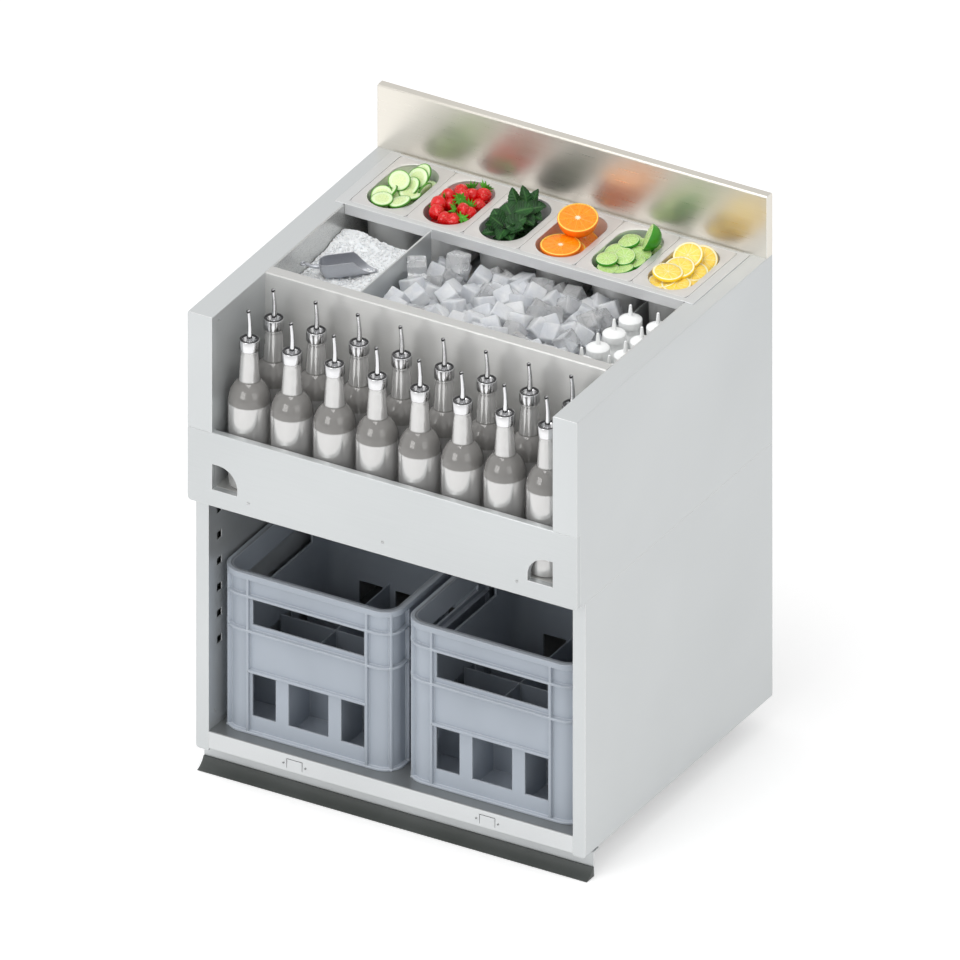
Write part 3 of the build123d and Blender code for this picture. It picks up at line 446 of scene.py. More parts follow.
def bottle_glass():
    """A mirror-like band on the body and the neck, and a darker, clearer shoulder between them: the mirror
    share is rendered, while the band's pale tone and the shoulder's dark tone are painted reflection, and the
    edges darken as a painted dark outline.
    """
    look = Finish("bottle_glass", Transmission_Weight=0.48, IOR=1.5)
    cloud = look.noise(12.0, 2.0)
    rise = look.split(look.place["UV"])[1]
    reflection_band = look.plus(look.spread(rise, 0.616, 0.624, 1.0, 0.0), look.spread(rise, 0.777, 0.785))
    slant = look.node("ShaderNodeLayerWeight", {"Blend": 0.5}).outputs["Facing"]
    # Pale band and dark shoulder tones: painted reflection laid by height.
    body = look.mix(reflection_band, (0.38, 0.37, 0.355), (0.86, 0.855, 0.845))
    look.use(Metallic=look.plus(look.times(reflection_band, 0.28), 0.09))
    # Darker at grazing angles: a painted dark outline standing for refraction at the glass's edges.
    edge = look.spread(slant, 0.68, 0.88, 0.0, 0.85)
    return look.skin(look.mix(edge, body, (0.16, 0.16, 0.165)), cloud, (0.015, 0.035),
                     look.bump(cloud, 0.01, 0.0003))


def grained(name, dark, light, cloud, fine, rough, depth, **more):
    """Slow changes of tone, and a grain in roughness and height. Each noise is a scale and a detail."""
    look = Finish(name, **more)
    grain = look.noise(*fine)
    return look.skin(look.mix(look.noise(*cloud), dark, light), grain, rough, look.bump(grain, *depth))


def ice_finish(name, through, dark, light, rough, crack):
    """Frozen water, with clouds in it, cracks and a softly uneven skin."""
    look = Finish(name, Transmission_Weight=through, IOR=1.31)
    cloud = look.noise(38.0, 3.0)
    cracks = look.cells(55.0, feature="DISTANCE_TO_EDGE")
    veins = look.spread(cracks, 0.0, 0.05, crack, 0.0)
    body = look.mix(look.spread(cloud, 0.38, 0.62), dark, light)
    return look.use(
        Base_Color=look.mix(veins, body, [0.62 * tone for tone in dark]),
        Roughness=look.spread(cloud, 0.35, 0.65, rough, rough + 0.2),
        Normal=look.bump(look.spread(cracks, 0.0, 0.12), 0.15, 0.0008, look.bump(cloud, 0.4, 0.004)),
    )


crate_finish = crate_plastic()
glass = bottle_glass()
lining = grained("clear_glass", (0.97, 0.975, 0.975), (1.0, 1.0, 1.0), (12.0, 2.0), (12.0, 2.0),
                 (0.01, 0.03), (0.01, 0.0003), Transmission_Weight=1.0, IOR=1.46)
cloudy_ice = ice_finish("cloudy_ice", 0.42, (0.84, 0.865, 0.91), (0.98, 0.99, 1.0), 0.07, 0.14)
clear_ice = ice_finish("clear_ice", 0.72, (0.86, 0.875, 0.89), (1.0, 1.0, 1.0), 0.04, 0.5)
ICE_GLOW = (1.0, 1.1, 1.2)
ice_core = grained("ice_core", (0.92, 0.94, 0.97), (0.98, 0.99, 1.0), (55.0, 3.0), (55.0, 3.0), (0.3, 0.55),
                   (0.5, 0.003), **soft(0.35, ICE_GLOW, 0.006))
snow = grained("crushed_ice", (0.86, 0.885, 0.905), (0.93, 0.945, 0.955), (30.0, 2.0), (420.0, 3.0),
               (0.25, 0.6), (0.35, 0.0012), **soft(0.3, ICE_GLOW, 0.004))


def slice_finish(name, wedges, flesh, flesh_light, pith, core, edge, ring=0.9, line=0.035, skin=None,
                 heart=None):
    """The cut face of a round fruit: wedges, thin skins between them, a core and a ring of pith."""
    look = Finish(name, **soft(0.2, (1.0, 0.7, 0.3), 0.003))
    away, angle = look.polar()
    wedge = 2 * math.pi / wedges
    turn = look.sum("DIVIDE", angle, wedge)
    middle = look.sum("ABSOLUTE", look.sum("SUBTRACT", look.sum("FRACT", turn), 0.5))
    share = look.sum("SUBTRACT", 0.5, middle)
    gap = look.times(look.times(share, away), wedge)
    grain = look.noise(5.0, 3.0, where="UV")
    cells = look.fan(look.times(turn, 5.0), look.times(away, 3.0))
    juice = look.spread(look.plus(look.times(cells, 0.7), look.times(grain, 0.5)), 0.3, 0.9)
    inside = look.mix(juice, flesh, flesh_light)
    skinned = look.mix(look.spread(gap, line * 0.4, line, 1.0, 0.0), inside, skin or pith)
    star = look.times(away, look.sum("MULTIPLY_ADD", share, 1.8, 1.0))
    cored = look.mix(look.spread(star, core * 0.7, core, 1.0, 0.0), skinned, heart or pith)
    ringed = look.mix(look.spread(away, ring - 0.03, ring), cored, pith)
    edged = look.mix(look.spread(away, 0.965, 0.985), ringed, edge)
    swell = look.times(look.spread(gap, 0.0, line * 1.6), look.spread(away, ring, ring - 0.06))
    return look.skin(edged, grain, (0.22, 0.4), look.bump(cells, 0.25, 0.0006, look.bump(swell, 0.5, 0.0012)))


def rind_finish(name, dark, light, dots=900.0):
    """The oily skin of a citrus fruit, with fine pits."""
    look = Finish(name)
    pits = look.cells(dots)
    cloud = look.noise(40.0, 2.0)
    return look.use(Base_Color=look.mix(cloud, dark, light),
                    Roughness=look.spread(pits, 0.1, 0.8, 0.42, 0.3),
                    Normal=look.bump(pits, 0.35, 0.0005))


def cucumber_slice():
    """A pale face with a watery middle, seeds in fans round it, and a green rim."""
    look = Finish("cucumber_face", **soft(0.2, (0.7, 1.0, 0.4), 0.003))
    away, turn = look.polar()
    cells = look.fan(look.times(turn, 2.4), look.times(away, 5.5))
    seeds = look.times(look.spread(cells, 0.2, 0.34, 1.0, 0.0), look.spread(away, 0.6, 0.66, 1.0, 0.0))
    grain = look.noise(6.0, 3.0, where="UV")
    inner = look.mix(look.spread(away, 0.58, 0.66), (0.58, 0.74, 0.30), (0.70, 0.86, 0.50))
    tone = look.mix(look.times(grain, 0.5), inner, (0.84, 0.90, 0.66))
    seeded = look.mix(look.times(seeds, 0.75), tone, (0.80, 0.80, 0.36))
    return look.skin(look.mix(look.spread(away, 0.86, 0.95), seeded, (0.11, 0.38, 0.03)), grain,
                     (0.22, 0.38), look.bump(cells, 0.2, 0.0005))


def berry_skin():
    """Glossy red with sunk yellow seeds."""
    look = Finish("strawberry_red", Coat_Weight=0.25, Coat_Roughness=0.1,
                  **soft(0.12, (1.0, 0.2, 0.1), 0.003))
    cells = look.cells(1.0, (15, 11, 1), "UV")
    seed = look.spread(cells, 0.1, 0.19, 1.0, 0.0)
    red = look.mix(look.noise(90.0, 2.0), (0.56, 0.0, 0.001), (0.80, 0.001, 0.003))
    return look.use(
        Base_Color=look.mix(look.times(seed, 0.7), red, (0.84, 0.40, 0.07)),
        Roughness=look.spread(cells, 0.1, 0.5, 0.36, 0.2),
        Normal=look.bump(look.spread(cells, 0.1, 0.42), 0.8, 0.0012),
    )


def leaf_finish(name, dark, light, vein):
    """A leaf with a lighter midrib and side veins on its own map."""
    look = Finish(name, **soft(0.1, (0.3, 1.0, 0.2), 0.001))
    along, across = look.split(look.place["UV"])[:2]
    side = look.sum("ABSOLUTE", across)
    slant = look.sum("SUBTRACT", look.times(along, 7.0), look.times(side, 2.2))
    rib = look.sum("ABSOLUTE", look.sum("SUBTRACT", look.sum("FRACT", slant), 0.5))
    cloud = look.noise(60.0, 3.0)
    body = look.mix(look.spread(cloud, 0.35, 0.65), dark, light)
    lines = look.sum("MAXIMUM", look.spread(rib, 0.0, 0.09, 0.55, 0.0), look.spread(side, 0.02, 0.07, 1.0, 0.0))
    puff = look.times(look.spread(rib, 0.0, 0.3), look.spread(side, 0.02, 0.2))
    return look.skin(look.mix(look.times(lines, 0.6), body, vein), cloud, (0.48, 0.6),
                     look.bump(puff, 0.7, 0.0012))


orange_face = slice_finish("orange_face", 10, (1.0, 0.24, 0.002), (1.0, 0.33, 0.004), (1.0, 0.72, 0.12),
                           0.2, (1.0, 0.42, 0.02), 0.93, 0.014, (1.0, 0.46, 0.04), (1.0, 0.90, 0.66))
orange_rind = rind_finish("orange_rind", (0.93, 0.17, 0.003), (1.0, 0.25, 0.006))
lime_face = slice_finish("lime_face", 9, (0.40, 0.64, 0.17), (0.58, 0.78, 0.30), (0.70, 0.86, 0.46), 0.07,
                         (0.14, 0.44, 0.03), 0.9, 0.022)
lime_rind = rind_finish("lime_rind", (0.015, 0.20, 0.005), (0.06, 0.36, 0.012))
lemon_face = slice_finish("lemon_face", 9, (1.0, 0.64, 0.05), (1.0, 0.78, 0.18), (1.0, 0.95, 0.66), 0.07,
                          (1.0, 0.76, 0.02), 0.88, 0.024, (1.0, 0.86, 0.40))
lemon_rind = rind_finish("lemon_rind", (1.0, 0.62, 0.01), (1.0, 0.76, 0.03))
cucumber_face = cucumber_slice()
cucumber_skin = rind_finish("cucumber_skin", (0.02, 0.16, 0.008), (0.11, 0.35, 0.02), 500.0)
strawberry_red = berry_skin()
mint_leaf = leaf_finish("mint_leaf", (0.003, 0.038, 0.004), (0.010, 0.085, 0.009), (0.05, 0.18, 0.03))
berry_leaf = leaf_finish("strawberry_leaf", (0.05, 0.34, 0.01), (0.14, 0.58, 0.03), (0.24, 0.62, 0.1))

# Finishes of the nodes that keep their solid shape
keeps = {
    satin: ["top_rail_front", "top_rail_rear", "kick_board", "front_panel", "bin_casing"],
    frame_steel: ["garnish_frame"],
    ledge_steel: ["rear_ledge"],
    rail_steel: ["bottle_rail"],
    warm_reflection_steel: ["upstand"],
    satin_deep: ["side_panel_left", "side_panel_right", "cheek_left", "cheek_right", "divider_left",
                 "divider_right"],
    liner: ["ice_bin", "drain_grate"],
    cabinet: ["base_shelf", "foot_sockets"],
    painted_shade_steel: ["back_panel", "tab_studs"],
    plinth: ["cove_skirting"],
    screw_finish: ["drain_nut", "drain_fitting"],
    foam: ["bin_insulation"],
}
for finish, names in keeps.items():
    for name in names:
        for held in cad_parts[name].material_slots:
            held.material = finish


# Bottles and pourers
BOTTLE_SIDES = 48
BOTTLES_IN_ROW = 8
BOTTLE_PITCH = 87.5
ROW_PITCH = 87
RAIL_FLOOR = 608
SPOUT_FOOT = 286
SPOUT_RISE = 64


def dome(wide, tall, foot, angles):
    """Points of an ellipse, at some angles in degrees above its widest ring."""
    turns = [math.radians(angle) for angle in angles]
    return [(wide * math.cos(turn), foot + tall * math.sin(turn)) for turn in turns]


bottle_outside = [
    (0, 5), (18, 4.2), (29, 1.6), (33.5, 0.2), (36.5, 0.6), (38.4, 2.6), (39, 6), (39, 20), (39, 150),
    (39, 167.5), *dome(39, 49, 168, range(6, 60, 6)), (20.1, 210.0), (19.5, 212.0), (19.2, 215),
    (16.0, 262), (15.4, 266), (15.7, 267.4), (15.9, 270), (15.2, 272), (13.4, 272),
]
bottle_inside = [
    (12.8, 270.5), (13.6, 262), (17.0, 216), (17.6, 211.5), *dome(36.8, 48.6, 166, range(60, 0, -6)),
    (36.8, 164), (36.8, 9), (34, 7.4), (0, 8),
]
bottle_points, bottle_faces, bottle_map = lathe(bottle_outside + bottle_inside, BOTTLE_SIDES)
outer_faces = BOTTLE_SIDES * (len(bottle_outside) - 1)
bottle_finish = [0 if number < outer_faces else 1 for number in range(len(bottle_faces))]
pourer_chrome_profile = [
    (0, 268), (12.4, 268), (12.6, 272.3), (17.0, 272.3), (18.0, 273.0), (18.3, 274.4), (18.3, 292.4),
    (17.9, 293.2), (17.3, 293.3), (17.1, 291.6), (12.9, 291.4), (11.6, 289.2), (10.0, 286.4), (7.6, 285.2),
    (6.6, 286.6), (0, 286.6),
]
pourer_ring_profile = [
    (13.1, 291.8), (16.9, 291.8), (17.0, 293.2), (16.4, 294), (14.0, 293.9), (13.0, 293.0),
]
# A black end on each spout, in the pourer rubber: painted shade for the dark hole at the spout's mouth.
spout_hole_shade_profile = [(0, -5), (3.1, -5), (3.6, -4.4), (3.6, -0.8), (3.0, -0.1), (0, -0.1)]
for row, row_name in enumerate(("front", "rear")):
    bottles, pourers = Form(), Form()
    for k in range(BOTTLES_IN_ROW):
        stand = at(93.75 + BOTTLE_PITCH * k, 57.5 + ROW_PITCH * row, RAIL_FLOOR)
        upright = shift(stand)
        bottles.add(bottle_points, bottle_faces, upright @ spun(rng.uniform(0, 360)), bottle_finish, bottle_map)
        pourers.turn(pourer_chrome_profile, upright)
        pourers.turn(pourer_ring_profile, upright, 1, closed=True)
        sway = rng.uniform(-0.7, 0.7)
        path, radii = [], []
        for share in shares(12):
            bend = 3.4 * math.sin(math.pi * share) * 0.6 - 2.6 * share
            path.append((bend + sway * share, 1.2 * share, SPOUT_FOOT + SPOUT_RISE * share))
            radii.append(5.6 - 2.5 * share ** 0.7)
        pourers.add(*tube(path, radii, 16), upright)
        pourers.turn(spout_hole_shade_profile, shift(stand + Vector(path[-1])), 1, 16)
    bottles.piece(f"bottles_{row_name}", f"bottles_{row_name}", "clear_glass", [glass, lining],
                  [f"bottles_{row_name}_row"], 30)
    pourers.piece(f"pourers_{row_name}", f"bottles_{row_name}", "pourer_chrome", [chrome, rubber],
                  [f"pourers_{row_name}_row"], 40)

# Squeeze bottles with ribbed caps
squeeze_profile = [
    (0, 2.5), (20, 1.5), (23.2, 0), (25, 1.2), (25.5, 4), (25.5, 138), (25.3, 144), (24.4, 149.5),
    (22.4, 154.5), (19.6, 158), (18.9, 161), (18.9, 166), (18.4, 170), (0, 170),
]
cap_profile = [
    (0, 171.5), (20.4, 171.5), (21.2, 172), (21.5, 173), (21.5, 183), (21.1, 184.8), (20, 186),
    (12.5, 189.6), (9.4, 190.6), (6.6, 191), (5.0, 192), (4.3, 194), (3.9, 198), (2.6, 211.5),
    (2.3, 213.2), (1.6, 214), (0, 214),
]
CAP_GRIP = 21.3
SQUEEZE_PITCH = (57, 58)
cap_points, cap_faces = lathe(cap_profile, 72)[:2]
ribbed_points = []
for k, (x, y, z) in enumerate(cap_points):
    shrink = 0.985 if math.hypot(x, y) > CAP_GRIP and k % 2 else 1.0
    ribbed_points.append((x * shrink, y * shrink, z))
squeeze_body, squeeze_cap = Form(), Form()
for column in range(2):
    for row in range(4):
        stand = at(719.5 - SQUEEZE_PITCH[0] * column, 254 + SQUEEZE_PITCH[1] * row, WELL_FLOOR)
        squeeze_body.turn(squeeze_profile, shift(stand))
        squeeze_cap.add(ribbed_points, cap_faces, shift(stand))
squeeze_body.piece("squeeze_bodies", "squeeze", "white_plastic", [white], ["squeeze_bottles"], 30)
squeeze_cap.piece("squeeze_screw_caps", "squeeze", "white_plastic", [white], ["squeeze_caps"], 30)


# Garnish cups: a flat plate with a deep drafted cup under its long opening
CUP_SIDES = 64
CUP_STRAIGHT = 38
CUP_DEEP = 86
CUP_PITCH = 115.367
FLOOR_RING = 10
cup_middle = FRONT + 573
cup_places = [CUP_PITCH * (k - 2.5) for k in range(6)]
# How far each ring of the cup lies outside the opening, and its height over the rim
cup_rings = [
    (1.4, 1.5), (0.5, 1.2), (0.0, 0.3), (-0.2, -2), (-3.4, -86), (-5.4, -94), (-10, -98.3), (-30, -98.8),
    (-30, -100), (-9.5, -99.6), (-4.4, -94.8), (-2.2, -86), (0.9, -2), (1.1, 0),
]


def stadium(wide, long):
    """Points round a shape with straight sides and round ends, counter-clockwise."""
    points = []
    for k in range(CUP_SIDES):
        x, y = on_circle(k + 0.5, CUP_SIDES, wide / 2)
        points.append((x, y + math.copysign((long - wide) / 2, y)))
    return points


def grown(outline, grow):
    """An outline moved outward from the middle line of the cup."""
    made = []
    for x, y in outline:
        away = Vector((x, y - clamp(y, CUP_STRAIGHT))).normalized()
        made.append((x + away.x * grow, y + away.y * grow))
    return made


def plate_edge(inner, half_x, half_y, corner):
    """For each inner point, the point outward on a rectangle with cut corners."""
    edge = []
    for x, y in inner:
        reach = min(half_x / max(abs(x), TINY), half_y / max(abs(y), TINY),
                    (half_x + half_y - corner) / (abs(x) + abs(y)))
        edge.append((x * reach, y * reach))
    return edge


opening = stadium(90, 166)
for k, cup_x in enumerate(cup_places):
    low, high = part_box(f"garnish_cup_{k + 1}")
    outer = plate_edge(opening, (high.x - low.x) / 2 / MM, (high.y - low.y) / 2 / MM, 5)
    rings = [[(x, y, 0.0) for x, y in outer], [(x, y, 1.2) for x, y in outer],
             [(x * 0.996, y * 0.997, 1.5) for x, y in outer]]
    rings += [[(x, y, height) for x, y in grown(opening, grow)] for grow, height in cup_rings]
    points, faces = loft(rings, looped=True)
    inside = range(FLOOR_RING * CUP_SIDES, (FLOOR_RING + 1) * CUP_SIDES)
    faces += [tuple(inside), tuple(n + CUP_SIDES for n in reversed(inside))]
    del faces[inside.start:inside.stop]
    walls = [1 if all(points[n][2] < -1 for n in face) else 0 for face in faces]
    Form().add(points, faces, shift((cup_x, cup_middle, RIM)), walls).piece(
        f"cup_{k + 1}", f"cup_{k + 1}", "satin_steel", [cup_plate, cup_wall], [f"garnish_cup_{k + 1}"], 30)


def keep_in_cup(form, cup_x):
    """Draw in whatever lies under the plate, so that nothing comes through the cup's wall or floor."""
    for point in form.points:
        height = point.z - RIM
        if height > 2.5:
            continue
        room = 44.2 + 0.038 * max(-CUP_DEEP, min(0.0, height)) + 0.45 * min(0.0, height + CUP_DEEP)
        end = clamp(point.y - cup_middle, CUP_STRAIGHT)
        away = Vector((point.x - cup_x, point.y - cup_middle - end))
        if away.length > room:
            away *= room / away.length
            point.x = cup_x + away.x
            point.y = cup_middle + end + away.y
        point.z = max(point.z, RIM - 98.2)


def serve(form, number, name, slot, finishes, node, sharp=50):
    """Keep a garnish inside its cup and make it a piece."""
    keep_in_cup(form, cup_places[number - 1])
    form.piece(name, f"cup_{number}", slot, finishes, [node], sharp)


# Garnish: forms shared by the cups
def slice_form(radius, thick, round_by=0.8, sides=48, wave=0.0):
    """A round slice, with its map over the cut faces and a rounded skin."""
    half = thick / 2
    profile = [(0, -half), (radius * 0.45, -half), (radius - round_by, -half), (radius, -half + round_by),
               (radius, half - round_by), (radius - round_by, half), (radius * 0.45, half), (0, half)]
    points, faces, maps = lathe(profile, sides, scale=radius)
    if wave:
        points = [(x, y, z + wave * (x * x - y * y) / radius) for x, y, z in points]
    finish = []
    for face in faces:
        edge = all(math.hypot(points[n][0], points[n][1]) > radius - round_by - 0.05 for n in face)
        flat = all(abs(abs(points[n][2]) - half) < 0.02 for n in face) if not wave else not edge
        finish.append(0 if flat and not edge else 1)
    return points, faces, maps, finish


def half_form(radius, sides=56):
    """Half of a round fruit, with its cut face up."""
    profile = [(0, -radius)]
    for step in range(1, 14):
        turn = math.pi / 2 * step / 14
        profile.append((radius * math.sin(turn), -radius * math.cos(turn)))
    profile += [(radius, -1.0), (radius - 0.35, -0.2), (radius - 1.0, 0), (radius * 0.5, 0), (0, 0)]
    points, faces, maps = lathe(profile, sides, scale=radius)
    finish = [0 if all(points[n][2] > -0.05 for n in face) else 1 for face in faces]
    return points, faces, maps, finish


def put_fruit(form, cup_x, dx, dy, rise, normal, fruit, flatten=1.0):
    """Lay a slice or a half at a place from the cup's middle and the rim, with its face along a normal."""
    points, faces, maps, finish = fruit
    place = facing(Vector((cup_x + dx, cup_middle + dy, RIM + rise)), normal, rng.uniform(0, 360))
    form.add(points, faces, place @ Matrix.Diagonal((1, 1, flatten, 1)), finish, maps)


def fill(form, cup_x, radius, thick, levels, spread_x, spread_y, tilt=0.35):
    """Slices lying deeper in the cup, under the ones that show."""
    reach = min(spread_x, max(2.0, 40 - radius))
    for level in levels:
        for share in shares(3):
            for side in (-1, 1):
                dy = spread_y * (2 * share - 1) + rng.uniform(-3, 3)
                dx = side * reach + rng.uniform(-1, 1)
                normal = (rng.uniform(-tilt, tilt), rng.uniform(-tilt, tilt), 1)
                put_fruit(form, cup_x, dx, clamp(dy, 78 - radius), level + rng.uniform(-2, 2), normal,
                          slice_form(radius, thick))


cucumber = Form()
cx = cup_places[0]
for dx, dy, rise, normal in (
    (-7, -1, 12, (0.22, -0.58, 0.78)), (15, 27, 9, (-0.02, -0.72, 0.69)), (17, 40, 11, (-0.30, -0.72, 0.62)),
    (-12, -54, -1, (0.05, -0.12, 1)), (20, -46, -1, (-0.26, -0.10, 0.96)), (-21, -38, -4, (0.15, -0.5, 0.85)),
    (-16, -24, -5, (-0.55, -0.30, 0.78)), (19, -8, -3, (0.12, -0.1, 0.98)), (33, 18, -10, (-0.93, 0.1, 0.25)),
    (12, 6, 1, (-0.3, -0.6, 0.75)), (-14, 24, -6, (0.3, -0.3, 0.9)), (3, -30, -9, (0.1, -0.3, 1)),
):
    put_fruit(cucumber, cx, dx, dy, rise, normal, slice_form(20.5, 3.6, wave=rng.uniform(-0.05, 0.05)))
fill(cucumber, cx, 20.0, 3.6, (-22, -34, -48, -62, -76, -88), 18, 55)
serve(cucumber, 1, "cucumber", "cucumber", [cucumber_face, cucumber_skin], "cucumber_slices")

# Strawberries with their leaves
SHOULDER = 0.39
SEPALS = 11
# The section of a sepal: share of its half width, and height
sepal_section = ((-1, 0.6), (0, -0.5), (1, 0.6), (1, 0.15), (0, -0.95), (-1, 0.15))
berries = Form()


def berry_radius(share):
    """How wide a strawberry is along its length, as a share of its widest."""
    if share < SHOULDER:
        return math.sin(math.pi * min(share * 1.28, 0.5))
    return math.cos(math.pi / 2 * ((share - SHOULDER) / (1 - SHOULDER)) ** 1.25)


def put_berry(dx, dy, rise, tip, size=1.0, leafy=True):
    """A strawberry whose stalk end is at the place, and whose tip points along a direction."""
    length, wide = 33 * size, 14.5 * size
    profile = [(0, 1.5)]
    for share in shares(16)[1:-1]:
        profile.append((max(wide * berry_radius(share), 0.01), 1.2 - 1.2 * share + length * share))
    profile.append((0, length))
    points, faces, maps = lathe(profile, 28)
    seed = Vector((dx, dy, 0))
    points = [tuple(Vector(p) * (1 + 0.035 * noise.noise(Vector(p) * 0.09 + seed))) for p in points]
    place = facing(Vector((cup_places[1] + dx, cup_middle + dy, RIM + rise)), tip, rng.uniform(0, 360))
    berries.add(points, faces, place, 0, maps)
    if not leafy:
        return
    for k in range(SEPALS):
        turn = 2 * math.pi * (k + rng.uniform(-0.2, 0.2)) / SEPALS
        long = rng.uniform(11.5, 16) * size
        lift = rng.uniform(0.2, 0.95)
        rings, coords = [], []
        for share in shares(5):
            half = 2.5 * size * math.sin(math.pi * (0.18 + 0.82 * share)) ** 0.8 if share < 1 else 0.12
            out = long * share
            rise_by = -lift * long * share ** 1.6 * 0.9 + 0.4
            ring = []
            for side, height in sepal_section:
                x = out * math.cos(turn) - side * half * math.sin(turn)
                y = out * math.sin(turn) + side * half * math.cos(turn)
                ring.append((x, y, rise_by + height))
                coords.append((share, side * 0.5))
            rings.append(ring)
        berries.add(*loft(rings), place, 1, coords)
    berries.add(*tube([(0, 0, 1), (0.4, 0, -3), (1.4, 0.4, -6)], [1.3, 1.0, 0.9], 8), place, 1)


for dx, dy, rise, tip, leafy in (
    (-19, 22, 2, (-0.5, -0.75, 0.05), False), (-20, -12, 3, (-0.35, -0.9, 0.12), False),
    (-28, -34, -2, (0.55, -0.75, 0.1), True), (-12, -52, -4, (0.85, -0.25, 0.05), False),
    (28, -40, -6, (-0.55, -0.7, 0.1), False), (-14, 52, -2, (-0.1, -0.8, 0.1), False),
    (2, 2, 9, (-0.3, 0.85, -0.3), True), (11, -34, 8, (0.55, 0.55, -0.25), True),
    (24, -6, 3, (0.45, -0.8, -0.35), True), (22, 56, 9, (0.25, -0.8, -0.3), True),
    (-2, 48, 7, (0.5, -0.8, -0.45), True), (30, 36, -6, (-0.1, -0.9, -0.1), False),
    (-30, -6, 3, (0.75, 0.1, -0.6), True), (30, -44, -1, (-0.5, 0.1, -0.7), True),
):
    put_berry(dx, dy, rise, tip, rng.uniform(0.94, 1.06), leafy)
for level in (-26, -52, -78):
    for k in range(5):
        for side in (-1, 1):
            put_berry(side * 15 + rng.uniform(-3, 3), -50 + 25 * k, level + rng.uniform(-3, 3),
                      (side * 0.2, rng.choice((-1, 1)) * 0.9, rng.uniform(-0.2, 0.2)), 0.92, False)
serve(berries, 2, "strawberry_heap", "strawberry", [strawberry_red, berry_leaf], "strawberries", 60)

# Mint: serrated leaves that cup along their midrib
LEAF_ROWS = 15
LEAF_COLUMNS = 8
mint = Form()
mint_place = shift((cup_places[2], cup_middle, RIM))


def put_leaf(base, tip, normal, wide, curl=0.18):
    """A leaf from its base to its tip, in the cup's own millimetres."""
    base = Vector(base)
    ahead = Vector(tip) - base
    long = ahead.length
    ahead.normalize()
    side = ahead.cross(Vector(normal)).normalized()
    over = side.cross(ahead)
    spots, coords = [], []
    for layer in (0, 1):
        for r, share in enumerate(shares(LEAF_ROWS)):
            half = wide / 2 * math.sin(math.pi * min(1, share ** 0.8 * 0.96 + 0.03)) ** 0.75
            tooth = 1.0 + (0.07 if r % 2 else -0.05) * (0.15 < share < 0.96)
            for column in shares(LEAF_COLUMNS):
                s = 2 * column - 1
                reach = half * (tooth if abs(s) == 1 else 1.0) * s
                rise_by = curl * wide * (s * s) * math.sin(math.pi * share) - curl * long * 0.9 * share ** 2
                if 0.1 < abs(s) < 0.95:
                    rise_by += 0.5 * math.cos(14 * math.pi * share - 2.4 * abs(s) * math.pi)
                spots.append(base + ahead * (share * long) + side * reach + over * (rise_by - 0.55 * layer))
                coords.append((share, s * 0.5))
    mint.add(spots, two_layers(LEAF_COLUMNS, LEAF_ROWS), mint_place, 0, coords)


for base, tip, normal, wide in (
    ((-10, 34, 2), (-34, 40, 34), (-0.2, -0.8, 0.4), 26), ((2, 44, 2), (-14, 50, 40), (0.5, -0.8, 0.3), 20),
    ((6, 46, -2), (4, 66, 32), (-0.3, -0.8, 0.5), 24), ((2, 30, 4), (30, 50, 14), (0.1, -0.5, 0.9), 26),
    ((-8, 0, 4), (-34, 22, 16), (0.1, -0.5, 0.85), 30), ((-4, 6, 12), (22, 26, 20), (0.0, -0.6, 0.8), 30),
    ((-10, -30, 2), (-36, -18, 22), (0.1, -0.7, 0.6), 28), ((-6, -32, 0), (-24, -44, 22), (0.6, -0.6, 0.5), 26),
    ((2, -36, 2), (26, -8, 18), (0.1, -0.6, 0.75), 30), ((4, -34, -2), (32, -32, 10), (0.1, -0.4, 0.9), 28),
    ((0, -36, -2), (4, -68, -2), (0.0, -0.2, 1), 24), ((6, -40, -4), (26, -60, -2), (0.1, -0.2, 1), 22),
    ((-10, -44, -6), (-34, -62, -4), (0.3, -0.2, 0.9), 20), ((10, 10, 0), (36, 2, 2), (0.2, -0.2, 1), 28),
    ((8, 30, 0), (38, 28, 0), (0.1, -0.2, 1), 26), ((-14, 20, 0), (-38, 8, 4), (0.0, -0.4, 0.9), 24),
    ((-20, -4, -2), (-38, -24, 6), (0.2, -0.3, 0.9), 24), ((-4, 52, -4), (-30, 58, 8), (0.1, -0.4, 0.9), 24),
    ((0, 60, -6), (22, 70, 2), (0.1, -0.3, 0.9), 20), ((-2, -8, 2), (12, -30, 12), (0.3, -0.5, 0.8), 26),
    ((-16, -28, -4), (-30, -50, 8), (0.4, -0.5, 0.8), 24), ((4, 2, -6), (20, -24, 0), (0.3, -0.3, 0.9), 28),
):
    put_leaf(base, tip, normal, 1.12 * wide)
reach = 14
for level in (-16, -34, -52, -70, -88):
    for k in range(9):
        turn = 2 * math.pi * (k + rng.random()) / 9
        dy = -52 + 13 * k
        base = (-reach * math.cos(turn), dy - 0.4 * reach * math.sin(turn), level + rng.uniform(-3, 3))
        tip = (reach * 1.6 * math.cos(turn), dy + 0.8 * reach * math.sin(turn), level + rng.uniform(-2, 6))
        put_leaf(base, tip, (rng.uniform(-0.3, 0.3), rng.uniform(-0.3, 0.3), 1), 26)
for foot, head in (((-6, -34, -80), (-8, -30, 4)), ((4, 6, -84), (0, 8, 6)), ((0, 44, -82), (2, 44, 4))):
    mint.add(*tube([foot, [(a + b) / 2 for a, b in zip(foot, head)], head], [1.7, 1.6, 1.3], 8), mint_place)
serve(mint, 3, "mint", "mint", [mint_leaf], "mint_leaves", 60)

